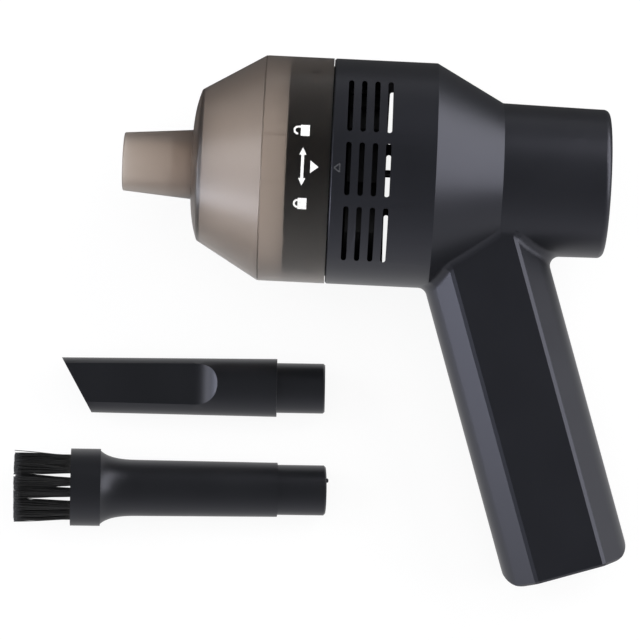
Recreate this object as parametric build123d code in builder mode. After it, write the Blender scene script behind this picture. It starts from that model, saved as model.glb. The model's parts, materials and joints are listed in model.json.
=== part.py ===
from build123d import *
import os
from math import asin, atan2, cos, degrees, hypot, pi, radians, sin

os.makedirs("parts", exist_ok=True)

# Mini vacuum cleaner lying on a table, with its crevice tool and brush lying loose beside it.
# Millimetres. The origin is the centre of the nozzle's mouth, +X runs along the barrel to the rear,
# +Z is up from the table. Stations are distances along the barrel from the nozzle's mouth.

# Dust cup and nozzle
BARREL_DIAMETER = 60.0
NOZZLE_LIP = 0.9
NOZZLE_TAPER = 1.5
NOZZLE_LENGTH = 18.35
SOCKET_CLEARANCE = 0.1
SOCKET_END_GAP = 0.2
THROAT_STEP = 0.6
CUP_FACE_DIAMETER = 40.3
CUP_FACE_DOME = 1.9
CUP_CONE_LENGTH = 16.7
CUP_SKIRT_LENGTH = 17.9
CUP_WALL = 1.4
PARTING_WIDTH = 0.3
PARTING_DEPTH = 0.15
GUIDE_ANGLES = (74.6, 99.7)
GUIDE_ARC = 0.8
GUIDE_HEIGHT = 0.35
SEAM_GAP = 0.4
SEAM_CLEARANCE = 0.15
SEAM_STEP = 0.4
SEAM_BREAK = 0.5

# Twist lock between cup and collar
TWIST = 20.0
LUG_COUNT = 3
LUG_FIRST_ANGLE = 30.0
LUG_ARC = 9.0
LUG_HEIGHT = 1.4
LUG_LENGTH = 2.0
LUG_SETBACK = 5.4
COLLAR_REACH = 11.4
COLLAR_WALL = 3.2
TURNING_GAP = 0.35
SEAL_THICKNESS = 1.6

# Filter
INLET_DIAMETER = 22.0
INLET_PLATE = 2.0
FILTER_RING_WALL = 1.4
FILTER_BAR = 1.6
PLEAT_COUNT = 15
PLEAT_SHEET = 0.7
TAB_WIDTH = 13.0
TAB_REACH = 2.2

# Housing
HOUSING_WALL = 2.0
BODY_LENGTH = 27.5
REAR_CONE_LENGTH = 17.9
TAIL_TAPER = 0.5
TAIL_ROUNDING = 1.6
RIB = 1.2
FIT_GAP = 0.1
VENT_COLUMNS = 4
VENT_SIGHT = 1.17
VENT_PITCH = 3.43
VENT_ROW_PITCH = 16.6
VENT_LENGTH = 13.8
VENT_WIDTH = 1.4
FAR_VENT_SHIFT = 1.2
VENT_DROP = 0.45
MARK_SETBACK = 0.4
MARK_DROP = 0.4
MARK_WIDTH = 3.0
MARK_LENGTH = 2.0
MARK_DEPTH = 0.3
MARK_STROKE = 0.4

# Handle
HANDLE_LEAD = 0.67
HANDLE_RAKE = 18.0
HANDLE_SIDE_ROOM = 5.65
HANDLE_FACE_ROOM = 2.8
HANDLE_FLAT = 18.6
HANDLE_NOSE = 10.0
HANDLE_EDGE_BEVEL = 0.6
HANDLE_NOSE_ROUNDING = 12.0
HANDLE_END_BEVEL = 0.6
HANDLE_CORNER = 4.5
ROOT_FILLET = 2.4
CAP_MARGIN = 2.4
CAP_FLANGE = 1.6

# Housing screws
POST_DIAMETER = 5.4
SCREW_DIAMETER = 2.4
SCREW_HEAD_DIAMETER = 4.4
SCREW_HEAD_HEIGHT = 1.8
SCREW_SEAT = 5.0
SCREW_LENGTH = 10.5
FRONT_POST_INSET = 6.4
TAIL_POST_INSET = 4.35
TAIL_POST_SETBACK = 10.0
POST_GAP = 0.2

# Fan and motor
FAN_RIM_GAP = 3.0
FAN_WIDTH = 9.2
FAN_DISC = 1.2
FAN_FRONT_GAP = 1.0
FAN_BLADES = 11
FAN_BLADE_THICKNESS = 1.1
FAN_EYE_DIAMETER = 20.0
HUB_DIAMETER = 9.0
BUSH_DIAMETER = 5.0
SHAFT_DIAMETER = 2.0
SHAFT_CLEARANCE = 0.04
SIGHT_GAP = 3.8
PLATE_THICKNESS = 2.4
MOTOR_DIAMETER = 27.7
MOTOR_LENGTH = 30.0
MOTOR_WALL = 1.0
MOTOR_BOSS_DIAMETER = 8.0
END_CAP_PLUG = 1.6
END_CAP_THICKNESS = 2.2
REAR_BOSS = 1.8
BEARING_DIAMETER = 6.0
MOTOR_SCREW_SPACING = 16.0
MOTOR_SCREW_DIAMETER = 2.5
DAMPER_THICKNESS = 2.0
DAMPER_RIM = 0.65
DAMPER_GAP = 1.75
DAMPER_LENGTH = 5.0
MAGNET_THICKNESS = 2.4
AIR_GAP = 1.15
ROTOR_SETBACK = 5.0
ROTOR_END_GAP = 1.4
COMMUTATOR_DIAMETER = 7.0
COMMUTATOR_LENGTH = 4.0
COMMUTATOR_GAP = 1.0

# Switch and button at the rear
BOARD_THICKNESS = 1.2
BOARD_GAP = 4.0
SWITCH_SIZE = 8.0
SWITCH_DEPTH = 6.0
PLUNGER_DIAMETER = 3.2
PLUNGER_REACH = 2.1
BUTTON_HEIGHT = 6.06
BUTTON_TRAVEL = 1.2
BUTTON_GAP = 0.3
BUTTON_RECESS = 0.4
BEZEL_RIM = 4.0
BEZEL_LIP = 1.75

# Cell and charging end in the handle
CELL_DIAMETER = 18.4
CELL_LENGTH = 65.0
CELL_START = 25.2
TAB_THICKNESS = 0.25
CHARGE_BOARD_GAP = 2.3
CHARGE_BOARD_LENGTH = 12.6
CHARGE_BOARD_WIDTH = 16.6
SOCKET_SHELL_WIDTH = 8.9
SOCKET_SHELL_HEIGHT = 3.2
SOCKET_SHELL_LENGTH = 7.3
LENS_DIAMETER = 2.4
LEAD_DIAMETER = 1.5
LEAD_GAP = 2.05
LEAD_BEND = 1.4

# Loose tools
SPIGOT_DIAMETER = 13.5
SPIGOT_LENGTH = 13.0
SPIGOT_WALL = 1.45
SPIGOT_LEAD = 0.45
CREVICE_STEP = 1.1
CREVICE_TAPER = 0.5
CREVICE_LENGTH = 71.65
CREVICE_SLANT = 8.87
CREVICE_FLAT_THICKNESS = 10.5
CREVICE_FLAT_START = 35.2
CREVICE_RAMP_START = 28.8
CREVICE_WALL = 1.5
CREVICE_X = 56.45
CREVICE_Y = -55.6
CREVICE_TURN = 1.8
BRUSH_STEP = 0.55
BRUSH_TUBE_TAPER = 0.25
BRUSH_TUBE_LENGTH = 50.5
BRUSH_FLARE_LENGTH = 10.0
FERRULE_DIAMETER = 20.7
FERRULE_LENGTH = 8.0
BRUSH_X = 57.8
BRUSH_Y = -83.1
BRUSH_TURN = 2.3
TUFT_COUNT = 16
FERRULE_WALL = 1.45
TUFT_EDGE = 0.5
TUFT_RADIUS = 0.85
TUFT_TIP_RADIUS = 1.4
TUFT_LEAN = 0.5
STRANDS_PER_TUFT = 22
STRAND_WIDTH = 0.26
BRISTLE_LENGTH = 15.1
BRISTLE_BACKING = 1.0

# Stations and radii that follow from the sizes above
barrel_r = BARREL_DIAMETER / 2
face_r = CUP_FACE_DIAMETER / 2
face_x = NOZZLE_LENGTH
rim_x = face_x + CUP_FACE_DOME
shoulder_x = rim_x + CUP_CONE_LENGTH
seam_x = shoulder_x + CUP_SKIRT_LENGTH
body_x = seam_x + SEAM_GAP
cone_x = seam_x + BODY_LENGTH
tail_x = cone_x + REAR_CONE_LENGTH
motor_r = MOTOR_DIAMETER / 2
damper_r = motor_r + DAMPER_THICKNESS
tail_r = damper_r + DAMPER_RIM + DAMPER_GAP + HOUSING_WALL
tail_end_r = tail_r - TAIL_TAPER
table_z = -barrel_r

# The handle is as wide, thick and long as the cell, the leads beside it and the charge board need.
cell_r = CELL_DIAMETER / 2
cell_end = CELL_START + CELL_LENGTH
handle_width = CELL_DIAMETER + 2 * (HANDLE_SIDE_ROOM + HOUSING_WALL)
handle_thickness = CELL_DIAMETER + 2 * (HANDLE_FACE_ROOM + HOUSING_WALL)
charge_board_start = cell_end + CHARGE_BOARD_GAP
charge_board_end = charge_board_start + CHARGE_BOARD_LENGTH
cap_front = charge_board_end + FIT_GAP
cap_back = cap_front + CAP_FLANGE
handle_length = cap_back + FIT_GAP + HOUSING_WALL

# Its front edge meets the barrel a little ahead of the rear cone.
rake = radians(HANDLE_RAKE)
front_edge_depth = (barrel_r - handle_width / 2 * sin(rake)) / cos(rake)
handle_x = cone_x - HANDLE_LEAD - front_edge_depth * sin(rake) + handle_width / 2 * cos(rake)

# The handle's end rests on the table beside the barrel, so the vacuum is rolled a little about X.
rest_depth = handle_length - HANDLE_END_BEVEL
rest_offset = HANDLE_FLAT / 2 - HANDLE_EDGE_BEVEL
handle_reach = rest_depth * cos(rake) + rest_offset * sin(rake)
handle_drop = handle_thickness / 2
rest_slope = asin(barrel_r / hypot(handle_reach, handle_drop))
lying_roll = degrees(rest_slope - atan2(handle_drop, handle_reach))

# Mid-plane of the vacuum: x along the barrel, y away from the handle, z up out of the visible side.
side = Plane.XY.rotated((lying_roll, 0, 0))
handle_back = side.x_dir * cos(rake) + side.y_dir * sin(rake)
handle_down = side.x_dir * sin(rake) - side.y_dir * cos(rake)


def across(station):
    """Plane square to the barrel at a station, x away from the handle and y out of the visible side."""
    return Plane(origin=(station, 0, 0), x_dir=side.y_dir, z_dir=(1, 0, 0))


def handle_point(depth, offset):
    """Place in the mid-plane of a point down the handle, and offset from its centre to the rear."""
    return (
        handle_x + depth * sin(rake) + offset * cos(rake),
        -depth * cos(rake) + offset * sin(rake),
    )


def down_handle(depth):
    """Plane square to the handle at a depth below the axis, x to the rear, y to the visible side."""
    origin = side.from_local_coords((*handle_point(depth, 0), 0))
    return Plane(origin=origin, x_dir=handle_back, z_dir=handle_down)


def turn(points, start=0.0, arc=360.0, mode=Mode.ADD):
    """Turn a closed outline of stations and radii about the barrel's axis."""
    with BuildSketch(side.rotated((start, 0, 0))) as outline:
        with BuildLine():
            Polyline(*points, close=True)
        make_face()
    revolve(outline.sketch, axis=Axis.X, revolution_arc=arc, mode=mode)


def ring(x0, x1, r0, r1, start=0.0, arc=360.0, mode=Mode.ADD):
    """Plain ring between two stations and two radii."""
    turn([(x0, r0), (x0, r1), (x1, r1), (x1, r0)], start=start, arc=arc, mode=mode)


def handle_face(depth, inset):
    """Cross-section of the handle, drawn in by a wall."""
    with BuildSketch(down_handle(depth)) as section:
        with BuildLine():
            Polyline(
                (-HANDLE_FLAT / 2, handle_thickness / 2),
                (HANDLE_FLAT / 2, handle_thickness / 2),
                (handle_width / 2, HANDLE_NOSE / 2),
                (handle_width / 2, -HANDLE_NOSE / 2),
                (HANDLE_FLAT / 2, -handle_thickness / 2),
                (-HANDLE_FLAT / 2, -handle_thickness / 2),
                (-handle_width / 2, -HANDLE_NOSE / 2),
                (-handle_width / 2, HANDLE_NOSE / 2),
                close=True,
            )
        make_face()
        if inset > 0:
            offset(amount=-inset, kind=Kind.INTERSECTION)
        else:
            rows = section.vertices().group_by(Axis.Y)
            fillet(rows[1] + rows[-2], HANDLE_NOSE_ROUNDING)
            rows = section.vertices().group_by(Axis.Y)
            chamfer(rows[0] + rows[-1], HANDLE_EDGE_BEVEL)
    return section.sketch


# Twist lock: the cup's inner bore, the collar inside it and the lugs between them
cup_bore_r = barrel_r - CUP_WALL
collar_r = cup_bore_r - TURNING_GAP
collar_bore_r = collar_r - COLLAR_WALL
lug_r = cup_bore_r - LUG_HEIGHT
lug_x = seam_x - LUG_SETBACK
collar_x = seam_x - COLLAR_REACH
inlet_x = seam_x - SEAM_GAP - INLET_PLATE
gap_arc = degrees(TURNING_GAP / lug_r)
socket_r = SPIGOT_DIAMETER / 2 + SOCKET_CLEARANCE
socket_x = SPIGOT_LENGTH + SOCKET_END_GAP
throat_r = socket_r - THROAT_STEP
nozzle_tip_r = socket_r + NOZZLE_LIP
lug_angles = [LUG_FIRST_ANGLE + 360 / LUG_COUNT * number for number in range(LUG_COUNT)]

with BuildPart() as dust_cup:
    rise = (barrel_r - face_r) / CUP_CONE_LENGTH
    slant = hypot(1, rise)
    with BuildSketch(side):
        with BuildLine():
            dome = TangentArc((face_x, nozzle_tip_r + NOZZLE_TAPER), (rim_x, face_r), tangent=(0, 1))
            Polyline(
                dome @ 1,
                (shoulder_x, barrel_r),
                (shoulder_x + PARTING_WIDTH / 2, barrel_r - PARTING_DEPTH),
                (shoulder_x + PARTING_WIDTH, barrel_r),
                (seam_x, barrel_r),
                (seam_x, cup_bore_r),
                (shoulder_x + CUP_WALL * (slant - 1) / rise, cup_bore_r),
                (rim_x + CUP_WALL, face_r + rise * CUP_WALL - slant * CUP_WALL),
                (face_x + CUP_WALL, throat_r),
                (socket_x, throat_r),
                (socket_x, socket_r),
                (0, socket_r),
                (0, nozzle_tip_r),
                dome @ 0,
            )
        make_face()
    revolve(axis=Axis.X)
    for radius, station, rounding in (
        (face_r, rim_x, CUP_WALL * 0.6),
        (nozzle_tip_r, 0, NOZZLE_LIP * 0.45),
    ):
        rim = dust_cup.edges().filter_by(GeomType.CIRCLE).sort_by(
            lambda edge: abs(edge.radius - radius) + abs(edge.center().X - station)
        )[0]
        fillet(rim, rounding)
    for angle in lug_angles:
        ring(lug_x, lug_x + LUG_LENGTH, lug_r, cup_bore_r + CUP_WALL / 2, start=angle, arc=LUG_ARC)
    for angle in GUIDE_ANGLES:
        ring(
            shoulder_x + TURNING_GAP,
            collar_x - TURNING_GAP,
            cup_bore_r - GUIDE_HEIGHT,
            cup_bore_r + CUP_WALL / 2,
            start=angle - GUIDE_ARC / 2,
            arc=GUIDE_ARC,
        )
dust_cup.part.label = "dust_cup"
export_step(dust_cup.part, "parts/dust_cup.step")

# Collar: front ring inside the cup, inlet plate for the fan, tail gripped by a rib of the housing
bay_r = barrel_r - HOUSING_WALL
tail_fit_r = bay_r - FIT_GAP
collar_rib_x = body_x + RIB
collar_tail_x = collar_rib_x + 1.7 * RIB
groove_r = tail_fit_r - 1.2 * RIB
seal_x = seam_x - SEAM_GAP - SEAL_THICKNESS
seal_floor_r = collar_r - 0.75 * SEAL_THICKNESS

with BuildPart() as bayonet_collar:
    turn(
        [
            (collar_x, collar_bore_r),
            (collar_x, collar_r),
            (seal_x - FIT_GAP, collar_r),
            (seal_x - FIT_GAP, seal_floor_r),
            (seal_x + SEAL_THICKNESS, seal_floor_r),
            (seal_x + SEAL_THICKNESS, tail_fit_r),
            (collar_rib_x - FIT_GAP, tail_fit_r),
            (collar_rib_x - FIT_GAP, groove_r),
            (collar_rib_x + RIB + FIT_GAP, groove_r),
            (collar_rib_x + RIB + FIT_GAP, tail_fit_r),
            (collar_tail_x, tail_fit_r),
            (collar_tail_x, groove_r - RIB),
            (inlet_x + INLET_PLATE, groove_r - RIB),
            (inlet_x + INLET_PLATE, INLET_DIAMETER / 2),
            (inlet_x, INLET_DIAMETER / 2),
            (inlet_x, collar_bore_r),
        ]
    )
    for angle in lug_angles:
        ring(
            lug_x - TURNING_GAP,
            lug_x + LUG_LENGTH + TURNING_GAP,
            lug_r - TURNING_GAP,
            barrel_r,
            start=angle - TWIST - gap_arc,
            arc=TWIST + LUG_ARC + 2 * gap_arc,
            mode=Mode.SUBTRACT,
        )
        ring(
            collar_x - 1,
            lug_x,
            lug_r - TURNING_GAP,
            barrel_r,
            start=angle - TWIST - gap_arc,
            arc=LUG_ARC + 2 * gap_arc,
            mode=Mode.SUBTRACT,
        )
bayonet_collar.part.label = "bayonet_collar"
export_step(bayonet_collar.part, "parts/bayonet_collar.step")

with BuildPart() as cup_seal:
    ring(seal_x, seal_x + SEAL_THICKNESS - FIT_GAP, seal_floor_r, collar_r)
cup_seal.part.label = "cup_seal"
export_step(cup_seal.part, "parts/cup_seal.step")

# Filter cartridge that lifts out of the collar's mouth by its tab
filter_r = collar_bore_r - TURNING_GAP
media_r = filter_r - FILTER_RING_WALL
filter_x = collar_x + FILTER_BAR
filter_back_x = inlet_x
media_x = filter_x + FILTER_BAR
media_back_x = filter_back_x - FILTER_BAR

with BuildPart() as filter_frame:
    ring(filter_x, filter_back_x, media_r, filter_r)
    ring(filter_x, media_x - FIT_GAP, media_r - FILTER_BAR, media_r)
    with BuildSketch(across(filter_x)):
        Rectangle(2 * media_r + FILTER_RING_WALL, FILTER_BAR)
        Rectangle(FILTER_BAR, 2 * media_r + FILTER_RING_WALL)
    extrude(amount=FILTER_BAR - FIT_GAP)
    with BuildSketch(across(media_back_x + FIT_GAP)):
        with PolarLocations(0, 6):
            Rectangle(FILTER_BAR, media_r + FILTER_RING_WALL / 2, align=(Align.CENTER, Align.MIN))
    extrude(amount=FILTER_BAR - FIT_GAP)
    with BuildSketch(across(filter_x - TAB_REACH)):
        RectangleRounded(TAB_WIDTH, FILTER_BAR, FILTER_BAR * 0.4)
    extrude(amount=TAB_REACH + FILTER_BAR / 2)
filter_frame.part.label = "filter_frame"
export_step(filter_frame.part, "parts/filter_frame.step")

with BuildPart() as filter_media:
    pleat = 2 * (media_r - FIT_GAP) / PLEAT_COUNT
    folds = []
    for number in range(2 * PLEAT_COUNT + 1):
        fold_x = media_x if number % 2 == 0 else media_back_x - PLEAT_SHEET
        folds.append((fold_x, -media_r + FIT_GAP + number * pleat / 2))
    with BuildSketch(side):
        with BuildLine():
            Polyline(*folds, *[(x + PLEAT_SHEET, y) for x, y in reversed(folds)], close=True)
        make_face()
    extrude(amount=media_r, both=True)
    ring(media_x, media_back_x, 0, media_r - FIT_GAP, mode=Mode.INTERSECT)
filter_media.part.label = "filter_media"
export_step(filter_media.part, "parts/filter_media.step")

# Fan behind the vents, and the plate that carries the motor
fan_x = collar_tail_x + FAN_FRONT_GAP
fan_back_x = fan_x + FAN_WIDTH
disc_x = fan_back_x - FAN_DISC
plate_x = fan_back_x + SIGHT_GAP
plate_back_x = plate_x + PLATE_THICKNESS
shaft_r = SHAFT_DIAMETER / 2
fan_r = bay_r - FAN_RIM_GAP
bush_x = fan_x + 2.0

with BuildPart() as impeller:
    ring(disc_x, fan_back_x, BUSH_DIAMETER / 2, fan_r)
    ring(bush_x, disc_x, BUSH_DIAMETER / 2, HUB_DIAMETER / 2)
    with BuildSketch(across(fan_x)) as blades:
        with BuildLine():
            ThreePointArc(
                (FAN_EYE_DIAMETER / 2 * cos(0.0), FAN_EYE_DIAMETER / 2 * sin(0.0)),
                (fan_r * 0.74 * cos(0.28), fan_r * 0.74 * sin(0.28)),
                (fan_r * 0.98 * cos(0.85), fan_r * 0.98 * sin(0.85)),
            )
        trace(line_width=FAN_BLADE_THICKNESS)
    with BuildSketch(across(fan_x)):
        for number in range(FAN_BLADES):
            add(blades.sketch.rotate(Axis.X, number * 360 / FAN_BLADES))
    extrude(amount=FAN_WIDTH - FAN_DISC / 2)
impeller.part.label = "impeller"
export_step(impeller.part, "parts/impeller.step")

with BuildPart() as impeller_bush:
    ring(bush_x, fan_back_x, shaft_r, BUSH_DIAMETER / 2)
impeller_bush.part.label = "impeller_bush"
export_step(impeller_bush.part, "parts/impeller_bush.step")

# Motor: steel can and end cap that stay still, shaft and rotor that turn
can_x = plate_back_x
can_back_x = can_x + MOTOR_LENGTH
bearing_r = BEARING_DIAMETER / 2
boss_r = MOTOR_BOSS_DIAMETER / 2
boss_x = plate_x + PLATE_THICKNESS / 3
can_bore_r = motor_r - MOTOR_WALL
plug_x = can_back_x - END_CAP_PLUG
cap_x = can_back_x + END_CAP_THICKNESS
rear_boss_x = cap_x + REAR_BOSS
rotor_r = can_bore_r - MAGNET_THICKNESS - AIR_GAP
rotor_x = can_x + ROTOR_SETBACK
commutator_x = plug_x - ROTOR_END_GAP - COMMUTATOR_LENGTH
rotor_length = commutator_x - COMMUTATOR_GAP - rotor_x

with BuildPart() as motor_shaft:
    ring(bush_x + 0.4, rear_boss_x - 1.4, 0, shaft_r)
motor_shaft.part.label = "motor_shaft"
export_step(motor_shaft.part, "parts/motor_shaft.step")

with BuildPart() as rotor_core:
    ring(rotor_x, rotor_x + rotor_length, shaft_r, rotor_r)
    with BuildSketch(across(rotor_x)):
        with PolarLocations(rotor_r * 0.55, 3):
            SlotOverall(rotor_r * 0.84, rotor_r * 0.4, rotation=90)
        with PolarLocations(rotor_r, 3):
            Rectangle(rotor_r * 1.2, rotor_r * 0.16)
    extrude(amount=rotor_length, mode=Mode.SUBTRACT)
rotor_core.part.label = "rotor_core"
export_step(rotor_core.part, "parts/rotor_core.step")

with BuildPart() as commutator:
    ring(commutator_x, commutator_x + COMMUTATOR_LENGTH, shaft_r, COMMUTATOR_DIAMETER / 2)
commutator.part.label = "commutator"
export_step(commutator.part, "parts/commutator.step")

with BuildPart() as motor_can:
    turn(
        [
            (boss_x, bearing_r),
            (boss_x, boss_r),
            (can_x, boss_r),
            (can_x, motor_r),
            (can_back_x, motor_r),
            (can_back_x, can_bore_r),
            (can_x + MOTOR_WALL, can_bore_r),
            (can_x + MOTOR_WALL, bearing_r),
        ]
    )
    with BuildSketch(across(can_x)):
        with PolarLocations(MOTOR_SCREW_SPACING / 2, 2):
            Circle(MOTOR_SCREW_DIAMETER / 2)
    extrude(amount=MOTOR_WALL, mode=Mode.SUBTRACT)
motor_can.part.label = "motor_can"
export_step(motor_can.part, "parts/motor_can.step")

with BuildPart() as motor_magnets:
    for angle in (30, 210):
        ring(
            rotor_x - 1,
            rotor_x + rotor_length + 1,
            can_bore_r - MAGNET_THICKNESS,
            can_bore_r,
            start=angle,
            arc=120,
        )
motor_magnets.part.label = "motor_magnets"
export_step(motor_magnets.part, "parts/motor_magnets.step")

with BuildPart() as motor_end_cap:
    turn(
        [
            (plug_x, bearing_r),
            (plug_x, can_bore_r),
            (can_back_x, can_bore_r),
            (can_back_x, motor_r),
            (cap_x, motor_r),
            (cap_x, boss_r + 1),
            (rear_boss_x, boss_r + 1),
            (rear_boss_x, 0),
            (rear_boss_x - 1, 0),
            (rear_boss_x - 1, bearing_r),
        ]
    )
motor_end_cap.part.label = "motor_end_cap"
export_step(motor_end_cap.part, "parts/motor_end_cap.step")

with BuildPart() as motor_bearings:
    ring(boss_x, boss_x + 3.4, shaft_r + SHAFT_CLEARANCE, bearing_r)
    ring(plug_x, plug_x + 3.4, shaft_r + SHAFT_CLEARANCE, bearing_r)
motor_bearings.part.label = "motor_bearings"
export_step(motor_bearings.part, "parts/motor_bearings.step")

with BuildPart() as motor_brushes:
    brush_r = COMMUTATOR_DIAMETER / 2 + 0.1
    with BuildSketch(across(commutator_x + 1)):
        with Locations((brush_r + 1.0, 0), (-brush_r - 1.0, 0)):
            Rectangle(2.0, 2.4)
    extrude(amount=2.2)
    with BuildSketch(across(commutator_x + 1)):
        with Locations((brush_r + 1.7, 0), (-brush_r - 1.7, 0)):
            Rectangle(0.6, 2.0)
    extrude(amount=plug_x - commutator_x - 1)
motor_brushes.part.label = "motor_brushes"
export_step(motor_brushes.part, "parts/motor_brushes.step")

board_x = rear_boss_x + BOARD_GAP
board_back_x = board_x + BOARD_THICKNESS

with BuildPart() as motor_terminals:
    with BuildSketch(across(cap_x)):
        with Locations((0, motor_r * 0.62), (0, -motor_r * 0.62)):
            Rectangle(3.0, 0.5)
    extrude(amount=board_x - cap_x)
motor_terminals.part.label = "motor_terminals"
export_step(motor_terminals.part, "parts/motor_terminals.step")

plate_rib_x = plate_x + RIB

with BuildPart() as motor_plate:
    turn(
        [
            (plate_x, boss_r + FIT_GAP),
            (plate_x, tail_fit_r),
            (plate_rib_x - FIT_GAP, tail_fit_r),
            (plate_rib_x - FIT_GAP, groove_r),
            (plate_rib_x + RIB + FIT_GAP, groove_r),
            (plate_rib_x + RIB + FIT_GAP, tail_fit_r),
            (plate_rib_x + 2 * RIB + FIT_GAP, tail_fit_r),
            (plate_rib_x + 2 * RIB + FIT_GAP, groove_r - RIB),
            (plate_back_x, groove_r - RIB),
            (plate_back_x, boss_r + FIT_GAP),
        ]
    )
    with BuildSketch(across(plate_x)):
        with PolarLocations(MOTOR_SCREW_SPACING / 2, 2):
            Circle(MOTOR_SCREW_DIAMETER / 2)
    extrude(amount=PLATE_THICKNESS, mode=Mode.SUBTRACT)
    with BuildSketch(across(plate_x)):
        with PolarLocations(MOTOR_SCREW_SPACING / 2, 2):
            Circle(MOTOR_SCREW_DIAMETER * 0.9)
    extrude(amount=PLATE_THICKNESS * 0.55, mode=Mode.SUBTRACT)
motor_plate.part.label = "motor_plate"
export_step(motor_plate.part, "parts/motor_plate.step")

with BuildPart() as motor_screws:
    with BuildSketch(across(plate_x)):
        with PolarLocations(MOTOR_SCREW_SPACING / 2, 2):
            Circle(MOTOR_SCREW_DIAMETER * 0.9 - FIT_GAP)
    extrude(amount=PLATE_THICKNESS * 0.55)
    with BuildSketch(across(plate_x)):
        with PolarLocations(MOTOR_SCREW_SPACING / 2, 2):
            Circle(MOTOR_SCREW_DIAMETER / 2 - FIT_GAP / 2)
    extrude(amount=PLATE_THICKNESS + MOTOR_WALL)
    with BuildSketch(across(plate_x)):
        with PolarLocations(MOTOR_SCREW_SPACING / 2, 2):
            Rectangle(MOTOR_SCREW_DIAMETER, 0.6)
            Rectangle(0.6, MOTOR_SCREW_DIAMETER)
    extrude(amount=0.7, mode=Mode.SUBTRACT)
motor_screws.part.label = "motor_screws"
export_step(motor_screws.part, "parts/motor_screws.step")

damper_x = tail_x + 0.6

with BuildPart() as motor_damper:
    ring(damper_x, damper_x + DAMPER_LENGTH, motor_r, damper_r + DAMPER_RIM)
    ring(damper_x + 1.2, damper_x + DAMPER_LENGTH - 1.2, damper_r, tail_r, mode=Mode.SUBTRACT)
motor_damper.part.label = "motor_damper"
export_step(motor_damper.part, "parts/motor_damper.step")

# Rear end: switch on its board, button in its bezel
switch_back_x = board_back_x + SWITCH_DEPTH
plunger_back_x = switch_back_x + PLUNGER_REACH
plunger_x = plunger_back_x - BUTTON_TRAVEL - 2.8
tail_bay_r = tail_end_r - HOUSING_WALL
lip_r = tail_bay_r - BEZEL_LIP
button_r = lip_r - BEZEL_RIM
bezel_bore_r = button_r + BUTTON_GAP
button_back_x = plunger_back_x + BUTTON_HEIGHT
rear_x = button_back_x + BUTTON_RECESS
lip_x = rear_x - HOUSING_WALL
bezel_flange_x = lip_x - FIT_GAP - 2.0
flange_x = plunger_back_x + BUTTON_TRAVEL * 0.7

with BuildPart() as switch_board:
    ring(board_x, board_back_x, 0, tail_bay_r - 2.2)
switch_board.part.label = "switch_board"
export_step(switch_board.part, "parts/switch_board.step")

with BuildPart() as push_switch:
    with BuildSketch(across(board_back_x)):
        RectangleRounded(SWITCH_SIZE, SWITCH_SIZE, 0.6)
    extrude(amount=SWITCH_DEPTH)
    ring(
        plunger_x - BUTTON_TRAVEL - BUTTON_GAP,
        switch_back_x + 1,
        0,
        PLUNGER_DIAMETER / 2 + BUTTON_GAP,
        mode=Mode.SUBTRACT,
    )
push_switch.part.label = "push_switch"
export_step(push_switch.part, "parts/push_switch.step")

with BuildPart() as switch_plunger:
    ring(plunger_x, plunger_back_x, 0, PLUNGER_DIAMETER / 2)
switch_plunger.part.label = "switch_plunger"
export_step(switch_plunger.part, "parts/switch_plunger.step")

with BuildPart() as power_button:
    turn(
        [
            (plunger_back_x, 0),
            (plunger_back_x, PLUNGER_DIAMETER * 0.7),
            (button_back_x - 1.6, PLUNGER_DIAMETER * 0.7),
            (button_back_x - 1.6, button_r - 1.6),
            (flange_x, button_r - 1.6),
            (flange_x, bezel_bore_r + 1.2),
            (bezel_flange_x - BUTTON_GAP, bezel_bore_r + 1.2),
            (bezel_flange_x - BUTTON_GAP, button_r),
            (button_back_x, button_r),
            (button_back_x, 0),
        ]
    )
    fillet(power_button.edges().filter_by(GeomType.CIRCLE).sort_by(Axis.X)[-1], 0.6)
power_button.part.label = "power_button"
export_step(power_button.part, "parts/power_button.step")

with BuildPart() as rear_bezel:
    turn(
        [
            (bezel_flange_x, bezel_bore_r),
            (bezel_flange_x, tail_bay_r - FIT_GAP),
            (lip_x - FIT_GAP, tail_bay_r - FIT_GAP),
            (lip_x - FIT_GAP, lip_r - FIT_GAP),
            (rear_x - BUTTON_RECESS, lip_r - FIT_GAP),
            (rear_x - BUTTON_RECESS, bezel_bore_r),
        ]
    )
    fillet(rear_bezel.edges().filter_by(GeomType.CIRCLE).sort_by(Axis.X)[-1], 0.4)
rear_bezel.part.label = "rear_bezel"
export_step(rear_bezel.part, "parts/rear_bezel.step")

# Charging end of the handle: cap with the socket, board behind it, two screw posts that trap the cap
post_r = POST_DIAMETER / 2
handle_post_depth = cap_front - FIT_GAP - post_r
handle_post_offset = CHARGE_BOARD_WIDTH / 2 + POST_GAP + post_r
charge_board_z = -SOCKET_SHELL_HEIGHT / 2
socket_end = handle_length - BUTTON_RECESS
lens_offset = -(SOCKET_SHELL_WIDTH / 2 + LENS_DIAMETER)

with BuildPart() as handle_cap:
    extrude(handle_face(cap_front, HOUSING_WALL + FIT_GAP), amount=CAP_FLANGE)
    extrude(handle_face(cap_front, HOUSING_WALL + CAP_MARGIN + FIT_GAP), amount=socket_end - cap_front)
    with BuildSketch(down_handle(cap_front)):
        RectangleRounded(
            SOCKET_SHELL_WIDTH + 2 * FIT_GAP,
            SOCKET_SHELL_HEIGHT + 2 * FIT_GAP,
            SOCKET_SHELL_HEIGHT / 2,
        )
        with Locations((lens_offset, 0)):
            Circle(LENS_DIAMETER / 2 + FIT_GAP)
    extrude(amount=handle_length - cap_front, mode=Mode.SUBTRACT)
handle_cap.part.label = "handle_cap"
export_step(handle_cap.part, "parts/handle_cap.step")

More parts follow.
